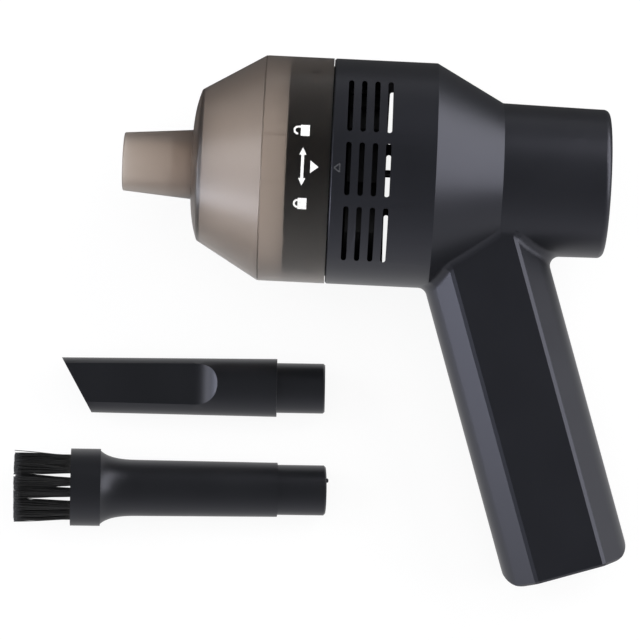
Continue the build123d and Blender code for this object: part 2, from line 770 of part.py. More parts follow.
with BuildPart() as charge_board:
    with BuildSketch(down_handle(charge_board_start)):
        with Locations((0, charge_board_z - BOARD_THICKNESS / 2)):
            Rectangle(CHARGE_BOARD_WIDTH, BOARD_THICKNESS)
    extrude(amount=CHARGE_BOARD_LENGTH)
charge_board.part.label = "charge_board"
export_step(charge_board.part, "parts/charge_board.step")

with BuildPart() as charge_socket:
    with BuildSketch(down_handle(socket_end - SOCKET_SHELL_LENGTH)):
        RectangleRounded(SOCKET_SHELL_WIDTH, SOCKET_SHELL_HEIGHT, SOCKET_SHELL_HEIGHT * 0.49)
    extrude(amount=SOCKET_SHELL_LENGTH)
    with BuildSketch(down_handle(socket_end - SOCKET_SHELL_LENGTH + 1)):
        RectangleRounded(SOCKET_SHELL_WIDTH - 0.7, SOCKET_SHELL_HEIGHT - 0.7, SOCKET_SHELL_HEIGHT * 0.37)
        Rectangle(SOCKET_SHELL_WIDTH * 0.72, 0.7, mode=Mode.SUBTRACT)
    extrude(amount=SOCKET_SHELL_LENGTH, mode=Mode.SUBTRACT)
charge_socket.part.label = "charge_socket"
export_step(charge_socket.part, "parts/charge_socket.step")

with BuildPart() as charge_lens:
    with BuildSketch(down_handle(cap_front - 2.0)):
        with Locations((lens_offset, 0)):
            Circle(LENS_DIAMETER / 2)
    extrude(amount=socket_end - cap_front + 2.0)
charge_lens.part.label = "charge_lens"
export_step(charge_lens.part, "parts/charge_lens.step")

with BuildPart() as battery_cell:
    with BuildSketch(down_handle(CELL_START + 0.8)):
        Circle(cell_r)
    extrude(amount=CELL_LENGTH - 0.8)
    fillet(battery_cell.edges().filter_by(GeomType.CIRCLE), 0.5)
    with BuildSketch(down_handle(CELL_START)):
        Circle(cell_r / 3)
    extrude(amount=1.0)
battery_cell.part.label = "battery_cell"
export_step(battery_cell.part, "parts/battery_cell.step")

with BuildPart() as battery_tabs:
    with BuildSketch(down_handle(CELL_START - TAB_THICKNESS)):
        Rectangle(cell_r, cell_r * 0.6)
    extrude(amount=TAB_THICKNESS)
    with BuildSketch(down_handle(cell_end)):
        Rectangle(cell_r, cell_r * 0.6)
    extrude(amount=TAB_THICKNESS)
battery_tabs.part.label = "battery_tabs"
export_step(battery_tabs.part, "parts/battery_tabs.step")

# Leads from the charge board, up the rear of the handle beside the cell, to the switch board
lead_r = LEAD_DIAMETER / 2
lead_heights = (charge_board_z + lead_r, charge_board_z - BOARD_THICKNESS - lead_r)
lead_offset = cell_r + LEAD_GAP + lead_r
board_lead = CHARGE_BOARD_WIDTH / 2 - lead_r - 0.15
lead_route = [
    handle_point(charge_board_end - 4.5, board_lead),
    handle_point(cell_end + 4.6, board_lead),
    handle_point(cell_end + 0.6, lead_offset),
    handle_point(CELL_START + 1.0, lead_offset),
    ((cap_x + board_x) / 2, -tail_bay_r + 5.5),
    (board_x, -tail_bay_r + 5.5),
]

with BuildPart() as red_lead:
    with BuildLine(side.offset(lead_heights[0])) as red_route:
        FilletPolyline(*lead_route, radius=LEAD_BEND)
    with BuildSketch(Plane(origin=red_route.line @ 0, z_dir=red_route.line % 0)):
        Circle(lead_r)
    sweep(path=red_route.line)
red_lead.part.label = "red_lead"
export_step(red_lead.part, "parts/red_lead.step")

with BuildPart() as black_lead:
    with BuildLine(side.offset(lead_heights[1])) as black_route:
        FilletPolyline(*lead_route, radius=LEAD_BEND)
    with BuildSketch(Plane(origin=black_route.line @ 0, z_dir=black_route.line % 0)):
        Circle(lead_r)
    sweep(path=black_route.line)
black_lead.part.label = "black_lead"
export_step(black_lead.part, "parts/black_lead.step")

# Housing: barrel and handle as one form, its hollow, and the ribs and posts inside it
bay_slope = (barrel_r - tail_r) / REAR_CONE_LENGTH
bay_shift = HOUSING_WALL * (hypot(1, bay_slope) - 1) / bay_slope
embed = HOUSING_WALL / 2
screw_places = [
    (plate_rib_x + 2 * RIB + post_r + 1.2, bay_r - FRONT_POST_INSET),
    (plate_rib_x + 2 * RIB + post_r + 1.2, FRONT_POST_INSET - bay_r),
    (rear_x - TAIL_POST_SETBACK, tail_bay_r - TAIL_POST_INSET),
    handle_point(handle_post_depth, handle_post_offset),
    handle_point(handle_post_depth, -handle_post_offset),
]

with BuildPart() as handle_form:
    extrude(handle_face(0, 0), amount=handle_length - HANDLE_END_BEVEL)
    extrude(handle_face(handle_length - HANDLE_END_BEVEL, 0), amount=HANDLE_END_BEVEL, taper=45)
    with BuildSketch(side):
        with BuildLine():
            corners = FilletPolyline(
                handle_point(-1, -handle_width / 2),
                handle_point(handle_length, -handle_width / 2),
                handle_point(handle_length, handle_width / 2),
                handle_point(-1, handle_width / 2),
                radius=HANDLE_CORNER,
            )
            Line(corners @ 1, corners @ 0)
        make_face()
    extrude(amount=handle_thickness, both=True, mode=Mode.INTERSECT)

with BuildPart() as housing_form:
    turn(
        [
            (seam_x + SEAM_CLEARANCE, 0),
            (seam_x + SEAM_CLEARANCE, barrel_r - SEAM_STEP),
            (seam_x + SEAM_CLEARANCE + SEAM_BREAK, barrel_r),
            (cone_x, barrel_r),
            (tail_x, tail_r),
            (rear_x, tail_end_r),
            (rear_x, 0),
        ]
    )
    fillet(housing_form.edges().filter_by(GeomType.CIRCLE).sort_by(Axis.X)[-1], TAIL_ROUNDING)
    add(handle_form.part)
    fillet(housing_form.edges(Select.NEW), ROOT_FILLET)

with BuildPart() as housing_room:
    turn(
        [
            (body_x - 1, 0),
            (body_x - 1, bay_r),
            (cone_x - bay_shift, bay_r),
            (tail_x - bay_shift, tail_r - HOUSING_WALL),
            (lip_x, tail_bay_r),
            (lip_x, lip_r),
            (rear_x + 1, lip_r),
            (rear_x + 1, 0),
        ]
    )
    extrude(handle_face(0, HOUSING_WALL), amount=handle_length - HOUSING_WALL)
    extrude(handle_face(0, HOUSING_WALL + CAP_MARGIN), amount=handle_length + 1)

with BuildPart() as housing_ribs:
    ring(collar_rib_x, collar_rib_x + RIB, groove_r + FIT_GAP, barrel_r - embed)
    ring(plate_rib_x, plate_rib_x + RIB, groove_r + FIT_GAP, barrel_r - embed)
    ring(damper_x + 1.2 + FIT_GAP, damper_x + DAMPER_LENGTH - 1.2 - FIT_GAP, damper_r, tail_r - embed)
    ring(board_x - FIT_GAP - RIB, board_x - FIT_GAP, tail_bay_r - 3.6, tail_r - embed)
    ring(board_back_x + FIT_GAP, board_back_x + FIT_GAP + RIB, tail_bay_r - 3.6, tail_r - embed)
    ring(bezel_flange_x - FIT_GAP - RIB, bezel_flange_x - FIT_GAP, tail_bay_r - 2.4, tail_r - embed)
    for depth in (CELL_START + 0.16 * CELL_LENGTH, CELL_START + 0.84 * CELL_LENGTH):
        extrude(handle_face(depth, embed), amount=2 * RIB)
    with BuildSketch(down_handle(CELL_START)):
        Circle(cell_r + FIT_GAP)
        with Locations((lead_offset, (lead_heights[0] + lead_heights[1]) / 2)):
            Rectangle(
                LEAD_DIAMETER + 6 * FIT_GAP,
                lead_heights[0] - lead_heights[1] + LEAD_DIAMETER + 6 * FIT_GAP,
            )
    extrude(amount=CELL_LENGTH, mode=Mode.SUBTRACT)
    with BuildSketch(side):
        with Locations(*screw_places):
            Circle(post_r)
    extrude(amount=barrel_r, both=True)
    add(housing_form.part, mode=Mode.INTERSECT)

with BuildPart() as housing:
    add(housing_form.part)
    add(housing_room.part, mode=Mode.SUBTRACT)
    add(housing_ribs.part)

mark_x = body_x + MARK_SETBACK
vent_centre_x = fan_back_x + VENT_SIGHT - VENT_PITCH * (VENT_COLUMNS - 1) / 2

with BuildPart() as upper_housing:
    add(housing.part)
    split(bisect_by=side, keep=Keep.TOP)
    with BuildSketch(side.offset(barrel_r / 4)):
        with Locations((vent_centre_x, -VENT_DROP)):
            with GridLocations(VENT_PITCH, VENT_ROW_PITCH, VENT_COLUMNS, 3):
                SlotOverall(VENT_LENGTH, VENT_WIDTH, rotation=90)
    extrude(amount=barrel_r, mode=Mode.SUBTRACT)
    with BuildSketch(side.offset(barrel_r - MARK_DEPTH)):
        with BuildLine():
            Polyline(
                (mark_x, -MARK_DROP),
                (mark_x + MARK_LENGTH, MARK_WIDTH / 2 - MARK_DROP),
                (mark_x + MARK_LENGTH, -MARK_WIDTH / 2 - MARK_DROP),
                close=True,
            )
        make_face()
        offset(amount=-MARK_STROKE, kind=Kind.INTERSECTION, mode=Mode.SUBTRACT)
    extrude(amount=1, mode=Mode.SUBTRACT)
    with BuildSketch(side):
        with Locations(*screw_places):
            Circle(SCREW_DIAMETER / 2 + FIT_GAP / 2)
    extrude(amount=SCREW_LENGTH - SCREW_SEAT + 1, mode=Mode.SUBTRACT)
upper_housing.part.label = "upper_housing"
export_step(upper_housing.part, "parts/upper_housing.step")

with BuildPart() as lower_housing:
    add(housing.part)
    split(bisect_by=side, keep=Keep.BOTTOM)
    with BuildSketch(side.offset(-barrel_r / 4)):
        with Locations((vent_centre_x + FAR_VENT_SHIFT, -VENT_DROP)):
            with GridLocations(VENT_PITCH, VENT_ROW_PITCH, VENT_COLUMNS, 3):
                SlotOverall(VENT_LENGTH, VENT_WIDTH, rotation=90)
    extrude(amount=-barrel_r, mode=Mode.SUBTRACT)
    with BuildSketch(side):
        with Locations(*screw_places):
            Circle(SCREW_DIAMETER / 2 + FIT_GAP)
    extrude(amount=-barrel_r, mode=Mode.SUBTRACT)
    with BuildSketch(side.offset(-SCREW_SEAT)):
        with Locations(*screw_places):
            Circle(SCREW_HEAD_DIAMETER / 2 + FIT_GAP)
    extrude(amount=-barrel_r, mode=Mode.SUBTRACT)
lower_housing.part.label = "lower_housing"
export_step(lower_housing.part, "parts/lower_housing.step")

with BuildPart() as housing_screws:
    with BuildSketch(side.offset(-SCREW_SEAT)):
        with Locations(*screw_places):
            Circle(SCREW_DIAMETER / 2)
    extrude(amount=SCREW_LENGTH)
    with BuildSketch(side.offset(-SCREW_SEAT)):
        with Locations(*screw_places):
            Circle(SCREW_HEAD_DIAMETER / 2)
    extrude(amount=-SCREW_HEAD_HEIGHT)
    with BuildSketch(side.offset(-SCREW_SEAT - SCREW_HEAD_HEIGHT)):
        with Locations(*screw_places):
            Rectangle(SCREW_HEAD_DIAMETER * 0.6, 0.7)
            Rectangle(0.7, SCREW_HEAD_DIAMETER * 0.6)
    extrude(amount=SCREW_HEAD_HEIGHT * 0.6, mode=Mode.SUBTRACT)
housing_screws.part.label = "housing_screws"
export_step(housing_screws.part, "parts/housing_screws.step")

# Loose tools: each plane starts at the free end of the spigot, x runs along the tool to its tip
spigot_r = SPIGOT_DIAMETER / 2
spigot_bore_r = spigot_r - SPIGOT_WALL
crevice_r = spigot_r + CREVICE_STEP
crevice_turn = radians(CREVICE_TURN)
crevice = Plane(
    origin=(CREVICE_X, CREVICE_Y, table_z + crevice_r),
    x_dir=(-cos(crevice_turn), -sin(crevice_turn), 0),
    z_dir=(0, 0, 1),
)
crevice_axis = Axis(crevice.origin, crevice.x_dir)
flat_z = CREVICE_FLAT_THICKNESS / 2
crevice_upright = Plane(origin=crevice.origin, x_dir=crevice.x_dir, z_dir=-crevice.y_dir)

with BuildPart() as crevice_tool:
    with BuildSketch(crevice):
        with BuildLine():
            Polyline(
                (0, 0),
                (0, spigot_r - SPIGOT_LEAD),
                (SPIGOT_LEAD, spigot_r),
                (SPIGOT_LENGTH, spigot_r),
                (SPIGOT_LENGTH, crevice_r),
                (CREVICE_LENGTH + 1, crevice_r - CREVICE_TAPER),
                (CREVICE_LENGTH + 1, 0),
                close=True,
            )
        make_face()
    revolve(axis=crevice_axis)
    with BuildSketch(crevice_upright):
        with BuildLine():
            ramp = TangentArc(
                (CREVICE_FLAT_START, flat_z),
                (CREVICE_RAMP_START, crevice_r),
                tangent=(-1, 0),
            )
            Polyline(
                ramp @ 1,
                (CREVICE_RAMP_START, crevice_r + 1),
                (CREVICE_LENGTH + 2, crevice_r + 1),
                (CREVICE_LENGTH + 2, flat_z),
                ramp @ 0,
            )
        make_face()
        mirror(about=Plane.XZ)
    extrude(amount=crevice_r, both=True, mode=Mode.SUBTRACT)
    with BuildSketch(crevice):
        with BuildLine():
            Polyline(
                (CREVICE_LENGTH, -crevice_r),
                (CREVICE_LENGTH - CREVICE_SLANT, crevice_r),
                (CREVICE_LENGTH - CREVICE_SLANT, crevice_r + 1),
                (CREVICE_LENGTH + 2, crevice_r + 1),
                (CREVICE_LENGTH + 2, -crevice_r - 1),
                (CREVICE_LENGTH, -crevice_r - 1),
                close=True,
            )
        make_face()
    extrude(amount=crevice_r, both=True, mode=Mode.SUBTRACT)
    with BuildSketch(Plane(origin=crevice.origin, x_dir=crevice.y_dir, z_dir=crevice.x_dir)):
        Circle(spigot_bore_r)
    extrude(amount=CREVICE_RAMP_START, mode=Mode.SUBTRACT)
    with BuildSketch(Plane(origin=crevice.origin, x_dir=crevice.y_dir, z_dir=crevice.x_dir)):
        SlotOverall(2 * (crevice_r - CREVICE_WALL), CREVICE_FLAT_THICKNESS - 2 * CREVICE_WALL)
        Circle(spigot_bore_r, mode=Mode.INTERSECT)
    extrude(amount=CREVICE_LENGTH + 2, mode=Mode.SUBTRACT)
crevice_tool.part.label = "crevice_tool"
export_step(crevice_tool.part, "parts/crevice_tool.step")

# The brush leans on its ferrule and on the end of its spigot or the shoulder behind it
shoulder_r = spigot_r + BRUSH_STEP
brush_tube_r = shoulder_r + BRUSH_TUBE_TAPER
ferrule_r = FERRULE_DIAMETER / 2
ferrule_x = BRUSH_TUBE_LENGTH + BRUSH_FLARE_LENGTH
mouth_x = ferrule_x + FERRULE_LENGTH
brush_pitch = min(
    atan2(ferrule_r - shoulder_r, ferrule_x - SPIGOT_LENGTH),
    atan2(ferrule_r - spigot_r, ferrule_x - SPIGOT_LEAD),
)
brush_height = ferrule_r * cos(brush_pitch) - ferrule_x * sin(brush_pitch)
brush_turn = radians(BRUSH_TURN)
brush = Plane(
    origin=(BRUSH_X, BRUSH_Y, table_z + brush_height),
    x_dir=(-cos(brush_turn) * cos(brush_pitch), -sin(brush_turn) * cos(brush_pitch), sin(brush_pitch)),
    z_dir=(cos(brush_turn) * sin(brush_pitch), sin(brush_turn) * sin(brush_pitch), cos(brush_pitch)),
)
brush_axis = Axis(brush.origin, brush.x_dir)
backing_outer_r = ferrule_r - FERRULE_WALL - FIT_GAP / 2
tuft_ring_r = backing_outer_r - TUFT_EDGE - TUFT_RADIUS
backing_inner_r = tuft_ring_r - TUFT_RADIUS - TUFT_EDGE
backing_x = mouth_x - BRISTLE_BACKING

with BuildPart() as brush_tube:
    with BuildSketch(brush):
        with BuildLine():
            flare = Spline(
                (BRUSH_TUBE_LENGTH, brush_tube_r),
                (ferrule_x, ferrule_r - 0.5),
                tangents=((1, 0), (1, 0.9)),
            )
            Polyline(
                flare @ 1,
                (ferrule_x, ferrule_r),
                (mouth_x, ferrule_r),
                (mouth_x, backing_outer_r + FIT_GAP / 2),
                (backing_x, backing_outer_r + FIT_GAP / 2),
                (backing_x, spigot_bore_r),
                (0, spigot_bore_r),
                (0, spigot_r - SPIGOT_LEAD),
                (SPIGOT_LEAD, spigot_r),
                (SPIGOT_LENGTH, spigot_r),
                (SPIGOT_LENGTH, shoulder_r),
                flare @ 0,
            )
        make_face()
    revolve(axis=brush_axis)
brush_tube.part.label = "brush_tube"
export_step(brush_tube.part, "parts/brush_tube.step")

# Tufts of the brush: strands that spread from each hole of the backing, so that none cross
strand_places = []
for number in range(STRANDS_PER_TUFT):
    strand_places.append((((number + 0.5) / STRANDS_PER_TUFT) ** 0.5, number * pi * (3 - 5**0.5)))

with BuildPart() as brush_bristles:
    with BuildSketch(brush):
        with BuildLine():
            Polyline(
                (backing_x, backing_inner_r),
                (backing_x, backing_outer_r),
                (mouth_x, backing_outer_r),
                (mouth_x, backing_inner_r),
                close=True,
            )
        make_face()
    revolve(axis=brush_axis)
    strands = []
    for tuft in range(TUFT_COUNT):
        tuft_angle = 2 * pi * (tuft + 0.5) / TUFT_COUNT
        for share, spin in strand_places:
            foot = (
                tuft_ring_r * cos(tuft_angle) + TUFT_RADIUS * share * cos(spin),
                tuft_ring_r * sin(tuft_angle) + TUFT_RADIUS * share * sin(spin),
            )
            tip = (
                (tuft_ring_r + TUFT_LEAN) * cos(tuft_angle) + TUFT_TIP_RADIUS * share * cos(spin),
                (tuft_ring_r + TUFT_LEAN) * sin(tuft_angle) + TUFT_TIP_RADIUS * share * sin(spin),
            )
            foot_point = brush.from_local_coords((backing_x + BRISTLE_BACKING / 2, *foot))
            tip_point = brush.from_local_coords((mouth_x + BRISTLE_LENGTH, *tip))
            reach = tip_point - foot_point
            with BuildSketch(Plane(origin=foot_point, z_dir=reach), mode=Mode.PRIVATE) as strand:
                Rectangle(STRAND_WIDTH, STRAND_WIDTH)
            strands.append(extrude(strand.sketch, amount=reach.length, mode=Mode.PRIVATE))
    add(strands)
brush_bristles.part.label = "brush_bristles"
export_step(brush_bristles.part, "parts/brush_bristles.step")
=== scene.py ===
# Mini vacuum cleaner with its crevice tool and brush, lying on a pale table.
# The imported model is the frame: metres, X along the barrel from nozzle to rear, Z up from the table.
import json
import math
import random

import bmesh
import bpy
from mathutils import Matrix, Vector


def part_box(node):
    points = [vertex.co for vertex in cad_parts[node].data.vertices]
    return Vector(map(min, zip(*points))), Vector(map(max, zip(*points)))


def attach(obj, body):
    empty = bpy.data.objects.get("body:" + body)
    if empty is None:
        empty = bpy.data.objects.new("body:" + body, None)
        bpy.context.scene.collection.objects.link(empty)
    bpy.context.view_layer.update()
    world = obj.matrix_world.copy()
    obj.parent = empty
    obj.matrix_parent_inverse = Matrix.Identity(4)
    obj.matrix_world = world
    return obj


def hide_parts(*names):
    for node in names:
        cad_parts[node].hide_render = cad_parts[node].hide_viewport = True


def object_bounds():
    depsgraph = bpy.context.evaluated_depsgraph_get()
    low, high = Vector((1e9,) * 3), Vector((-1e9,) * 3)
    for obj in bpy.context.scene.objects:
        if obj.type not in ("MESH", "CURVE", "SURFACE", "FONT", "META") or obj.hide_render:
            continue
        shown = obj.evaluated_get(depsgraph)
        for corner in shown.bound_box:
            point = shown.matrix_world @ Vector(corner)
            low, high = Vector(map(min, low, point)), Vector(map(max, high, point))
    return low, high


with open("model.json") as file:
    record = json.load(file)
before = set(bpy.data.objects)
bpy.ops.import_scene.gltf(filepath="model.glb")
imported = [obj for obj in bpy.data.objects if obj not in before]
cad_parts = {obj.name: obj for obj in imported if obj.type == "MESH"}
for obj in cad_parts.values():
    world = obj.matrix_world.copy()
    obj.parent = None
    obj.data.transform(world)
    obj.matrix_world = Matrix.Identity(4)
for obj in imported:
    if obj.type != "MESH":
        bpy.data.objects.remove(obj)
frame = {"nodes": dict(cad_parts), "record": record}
cad_low, cad_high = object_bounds()
nodes = frame["nodes"]

# Motor can and charging socket
# Deep-drawn steel, zinc plated: the can holds the magnets and is screwed to the motor plate,
# the socket's shell is folded round and soldered to the charge board.
MM = 0.001
PLATING_SWING = 0.08


def linear(hex_colour):
    """Linear RGBA of an sRGB hex colour such as #8A7F78."""
    channels = [int(hex_colour[i:i + 2], 16) / 255 for i in (1, 3, 5)]
    return [c / 12.92 if c <= 0.04045 else ((c + 0.055) / 1.055) ** 2.4 for c in channels] + [1.0]


def add(material, kind, settings=(), **inputs):
    """Add a node with its settings and links. An input is a value or another node's output, under
    the socket's name with _ for a space, or under _0, _1 and so on where sockets share a name."""
    node = material.node_tree.nodes.new(kind)
    for name, value in settings:
        setattr(node, name, value)
    for name, value in inputs.items():
        socket = node.inputs[int(name[1:]) if name[1:].isdigit() else name.replace("_", " ")]
        if isinstance(value, bpy.types.NodeSocket):
            material.node_tree.links.new(value, socket)
        else:
            socket.default_value = value
    return node


def new_material(name):
    """Empty node material, with the object's own coordinates in metres."""
    material = bpy.data.materials.new(name)
    material.use_nodes = True
    material.node_tree.nodes.clear()
    place = add(material, "ShaderNodeTexCoord").outputs["Object"]
    return material, place


def show(material, shader, volume=None):
    """Join the finished shader to the material's output."""
    output = add(material, "ShaderNodeOutputMaterial", Surface=shader.outputs[0])
    if volume:
        material.node_tree.links.new(volume.outputs[0], output.inputs["Volume"])
    return material


def dress(material, *names):
    """Give the material to nodes of the frame."""
    for name in names:
        nodes[name].data.materials.clear()
        nodes[name].data.materials.append(material)


def plated_metal(name, colour, dark, roughness, cloud_mm):
    """Plated sheet: cloudy patches from the plating bath, so the gloss varies slowly over it."""
    material, place = new_material(name)
    cloud = add(material, "ShaderNodeTexNoise", Vector=place, Scale=1 / (cloud_mm * MM), Detail=4.0)
    tint = add(
        material,
        "ShaderNodeMixRGB",
        Fac=cloud.outputs["Fac"],
        Color1=linear(dark),
        Color2=linear(colour),
    )
    gloss = add(
        material,
        "ShaderNodeMapRange",
        Value=cloud.outputs["Fac"],
        To_Min=roughness - PLATING_SWING,
        To_Max=roughness + PLATING_SWING,
    )
    shader = add(
        material,
        "ShaderNodeBsdfPrincipled",
        Base_Color=tint.outputs[0],
        Roughness=gloss.outputs[0],
        Metallic=1.0,
    )
    return show(material, shader)


zinc_plate = plated_metal("zinc_plated_steel", "#BFC1C3", "#9A9CA0", roughness=0.34, cloud_mm=5.0)
dress(zinc_plate, "motor_can", "charge_socket")

# Magnets and brushes
# Two curved ferrite magnets glued into the can and two carbon blocks on spring arms: both are
# pressed powder, so they are dark, dull and slightly grainy.
POWDER_DINT_MM = 0.05


def pressed_powder(name, colour, grain_mm):
    """Pressed powder: dull, with a grain that breaks up the little gloss it has. The grain is drawn
    coarser than real, so that it shows."""
    material, place = new_material(name)
    grain = add(material, "ShaderNodeTexNoise", Vector=place, Scale=1 / (grain_mm * MM), Detail=6.0)
    dint = add(
        material,
        "ShaderNodeBump",
        Height=grain.outputs["Fac"],
        Strength=0.25,
        Distance=POWDER_DINT_MM * MM,
    )
    shader = add(
        material,
        "ShaderNodeBsdfPrincipled",
        Base_Color=linear(colour),
        Roughness=0.68,
        Normal=dint.outputs[0],
    )
    return show(material, shader)


dress(pressed_powder("pressed_ferrite", "#3B3A3B", grain_mm=0.4), "motor_magnets")
dress(pressed_powder("pressed_carbon", "#29282A", grain_mm=0.3), "motor_brushes")

# Rotor
# Core of stamped steel sheets pressed on the shaft, and a copper commutator behind it. The edges of
# the sheets show as fine rings round the core.
SHEET_MM = 0.5
GROOVE_MM = 0.02
WAVES_PER_UNIT = 10 / math.pi


def ringed_metal(name, colour, dark, roughness, ring_mm):
    """Bare metal with rings square to the barrel: sheet edges, or the lines of a lathe, which are drawn
    coarser than real, so that they show. At scale 1 the pattern has WAVES_PER_UNIT rings to a metre."""
    material, place = new_material(name)
    rings = add(
        material,
        "ShaderNodeTexWave",
        [("bands_direction", "X")],
        Vector=place,
        Scale=1 / (WAVES_PER_UNIT * ring_mm * MM),
        Distortion=0.4,
        Detail=1.0,
    )
    tint = add(
        material,
        "ShaderNodeMixRGB",
        Fac=rings.outputs["Fac"],
        Color1=linear(dark),
        Color2=linear(colour),
    )
    groove = add(
        material,
        "ShaderNodeBump",
        Height=rings.outputs["Fac"],
        Strength=0.3,
        Distance=GROOVE_MM * MM,
    )
    shader = add(
        material,
        "ShaderNodeBsdfPrincipled",
        Base_Color=tint.outputs[0],
        Roughness=roughness,
        Metallic=1.0,
        Normal=groove.outputs[0],
    )
    return show(material, shader)


core_steel = ringed_metal(
    "laminated_core_steel", "#85868A", "#4C4D50", roughness=0.45, ring_mm=SHEET_MM
)
dress(core_steel, "rotor_core")
copper = ringed_metal("turned_copper", "#B8764B", "#9A5E3A", roughness=0.32, ring_mm=0.25)
dress(copper, "commutator")

# Shaft and motor screws
# Ground steel shaft, and two small machine screws through the plate into the can. Both are bright
# and smooth, with the faint rings of grinding.
steel = ringed_metal("ground_steel", "#CACBCD", "#B4B5B8", roughness=0.22, ring_mm=0.15)
dress(steel, "motor_shaft", "motor_screws")

# Bearings, bush and terminals
# Turned and stamped brass: bearings pressed into the can and the cap, a bush moulded into the fan, and
# flat terminals from the motor to the switch board. All are yellow and bright, with fine lathe lines.
brass = ringed_metal("turned_brass", "#C8A45C", "#A98845", roughness=0.3, ring_mm=0.2)
dress(brass, "motor_bearings", "impeller_bush", "motor_terminals")

# Fan, motor end cap and switch body
# Moulded from nylon with glass fibre: the fan round its bush, the cap that closes the can, and the
# switch that is soldered to its board. All are nearly black, with a dull, slightly fibrous skin.
FLOW_SWING = 0.04
FLOW_SHADE = 0.86
FLOW_MM = 14.0


def moulded_plastic(name, colour, roughness, grain_mm, depth_mm, ior=1.5, glint="#FFFFFF"):
    """Moulded plastic: the mould's fine sparked grain as bump, and slow changes of gloss from the flow,
    with the colour of its glint face on. A real grain of about 0.05 mm is too fine to show, so it is
    drawn as coarse as grain_mm."""
    material, place = new_material(name)
    cloud = add(material, "ShaderNodeTexNoise", Vector=place, Scale=1 / (FLOW_MM * MM), Detail=3.0)
    gloss = add(
        material,
        "ShaderNodeMapRange",
        Value=cloud.outputs["Fac"],
        To_Min=roughness - FLOW_SWING,
        To_Max=roughness + FLOW_SWING,
    )
    grain = add(material, "ShaderNodeTexNoise", Vector=place, Scale=1 / (grain_mm * MM), Detail=3.0)
    dint = add(
        material,
        "ShaderNodeBump",
        Height=grain.outputs["Fac"],
        Strength=0.35,
        Distance=depth_mm * MM,
    )
    deep = [FLOW_SHADE * c for c in linear(colour)[:3]] + [1.0]
    tint = add(
        material,
        "ShaderNodeMixRGB",
        Fac=cloud.outputs["Fac"],
        Color1=deep,
        Color2=linear(colour),
    )
    shader = add(
        material,
        "ShaderNodeBsdfPrincipled",
        Base_Color=tint.outputs[0],
        Roughness=gloss.outputs[0],
        IOR=ior,
        Specular_Tint=linear(glint),
        Normal=dint.outputs[0],
    )
    return show(material, shader)


glass_nylon = moulded_plastic(
    "moulded_glass_filled_nylon", "#151517", roughness=0.55, grain_mm=0.5, depth_mm=0.03, ior=1.53
)
dress(glass_nylon, "impeller", "motor_end_cap", "push_switch")

# Seal and damper
# Moulded nitrile rubber: the seal sits in the collar's groove, the damper holds the motor's rear end
# in a rib of the housing. Rubber is dull and a little dusty.
rubber = moulded_plastic(
    "moulded_nitrile_rubber", "#1A1A1A", roughness=0.78, grain_mm=0.6, depth_mm=0.02, ior=1.52
)
dress(rubber, "cup_seal", "motor_damper")

# Filter cartridge
# Pleated paper glued into a frame of natural polypropylene with a pull tab. The paper's fibres lie
# flat and cloudy, and its folds run from edge to edge; the frame is milky and lets light through.
FIBRE_MM = 0.5
FIBRE_DINT_MM = 0.06
HAZE_MM = 3.0
filter_paper, place = new_material("pleated_filter_paper")
fibres = add(
    filter_paper,
    "ShaderNodeTexNoise",
    Vector=place,
    Scale=1 / (FIBRE_MM * MM),
    Detail=8.0,
    Roughness=0.7,
)
fibre_tint = add(
    filter_paper,
    "ShaderNodeMixRGB",
    Fac=fibres.outputs["Fac"],
    Color1=linear("#CFC9BA"),
    Color2=linear("#EFEBE0"),
)
fibre_relief = add(
    filter_paper,
    "ShaderNodeBump",
    Height=fibres.outputs["Fac"],
    Strength=0.4,
    Distance=FIBRE_DINT_MM * MM,
)
paper_shader = add(
    filter_paper,
    "ShaderNodeBsdfPrincipled",
    Base_Color=fibre_tint.outputs[0],
    Roughness=0.9,
    Normal=fibre_relief.outputs[0],
)
dress(show(filter_paper, paper_shader), "filter_media")
natural_pp, place = new_material("moulded_natural_polypropylene")
haze = add(natural_pp, "ShaderNodeTexNoise", Vector=place, Scale=1 / (HAZE_MM * MM), Detail=3.0)
haze_tint = add(
    natural_pp,
    "ShaderNodeMixRGB",
    Fac=haze.outputs["Fac"],
    Color1=linear("#E4E1DA"),
    Color2=linear("#F1EFEA"),
)
pp_shader = add(
    natural_pp,
    "ShaderNodeBsdfPrincipled",
    Base_Color=haze_tint.outputs[0],
    Roughness=0.5,
    IOR=1.49,
    Transmission_Weight=0.6,
)
dress(show(natural_pp, pp_shader), "filter_frame", "switch_plunger")

# Boards, tabs and leads
# Glass-epoxy boards under green solder mask, nickel strip welded to the cell, and two stranded wires
# in soft PVC. The mask is glossy and shows the tracks under it as paler lines.
TRACK_MM = 1.3
TRACK_EDGE = (0.06, 0.1)
solder_mask, place = new_material("green_solder_mask")
tracks = add(
    solder_mask,
    "ShaderNodeTexVoronoi",
    [("feature", "DISTANCE_TO_EDGE")],
    Vector=place,
    Scale=1 / (TRACK_MM * MM),
)
track_edge = add(
    solder_mask,
    "ShaderNodeMapRange",
    Value=tracks.outputs["Distance"],
    From_Min=TRACK_EDGE[0],
    From_Max=TRACK_EDGE[1],
)
mask_tint = add(
    solder_mask,
    "ShaderNodeMixRGB",
    Fac=track_edge.outputs[0],
    Color1=linear("#2F7A49"),
    Color2=linear("#1C5632"),
)
mask_shader = add(
    solder_mask,
    "ShaderNodeBsdfPrincipled",
    Base_Color=mask_tint.outputs[0],
    Roughness=0.25,
    IOR=1.55,
)
dress(show(solder_mask, mask_shader), "switch_board", "charge_board")
nickel = plated_metal("rolled_nickel_strip", "#D2CEC4", "#B7B2A6", roughness=0.28, cloud_mm=3.0)
dress(nickel, "battery_tabs")
for lead, colour in (("red", "#A5231F"), ("black", "#191919")):
    soft_pvc = moulded_plastic(
        f"extruded_{lead}_pvc", colour, roughness=0.38, grain_mm=0.5, depth_mm=0.005
    )
    dress(soft_pvc, f"{lead}_lead")

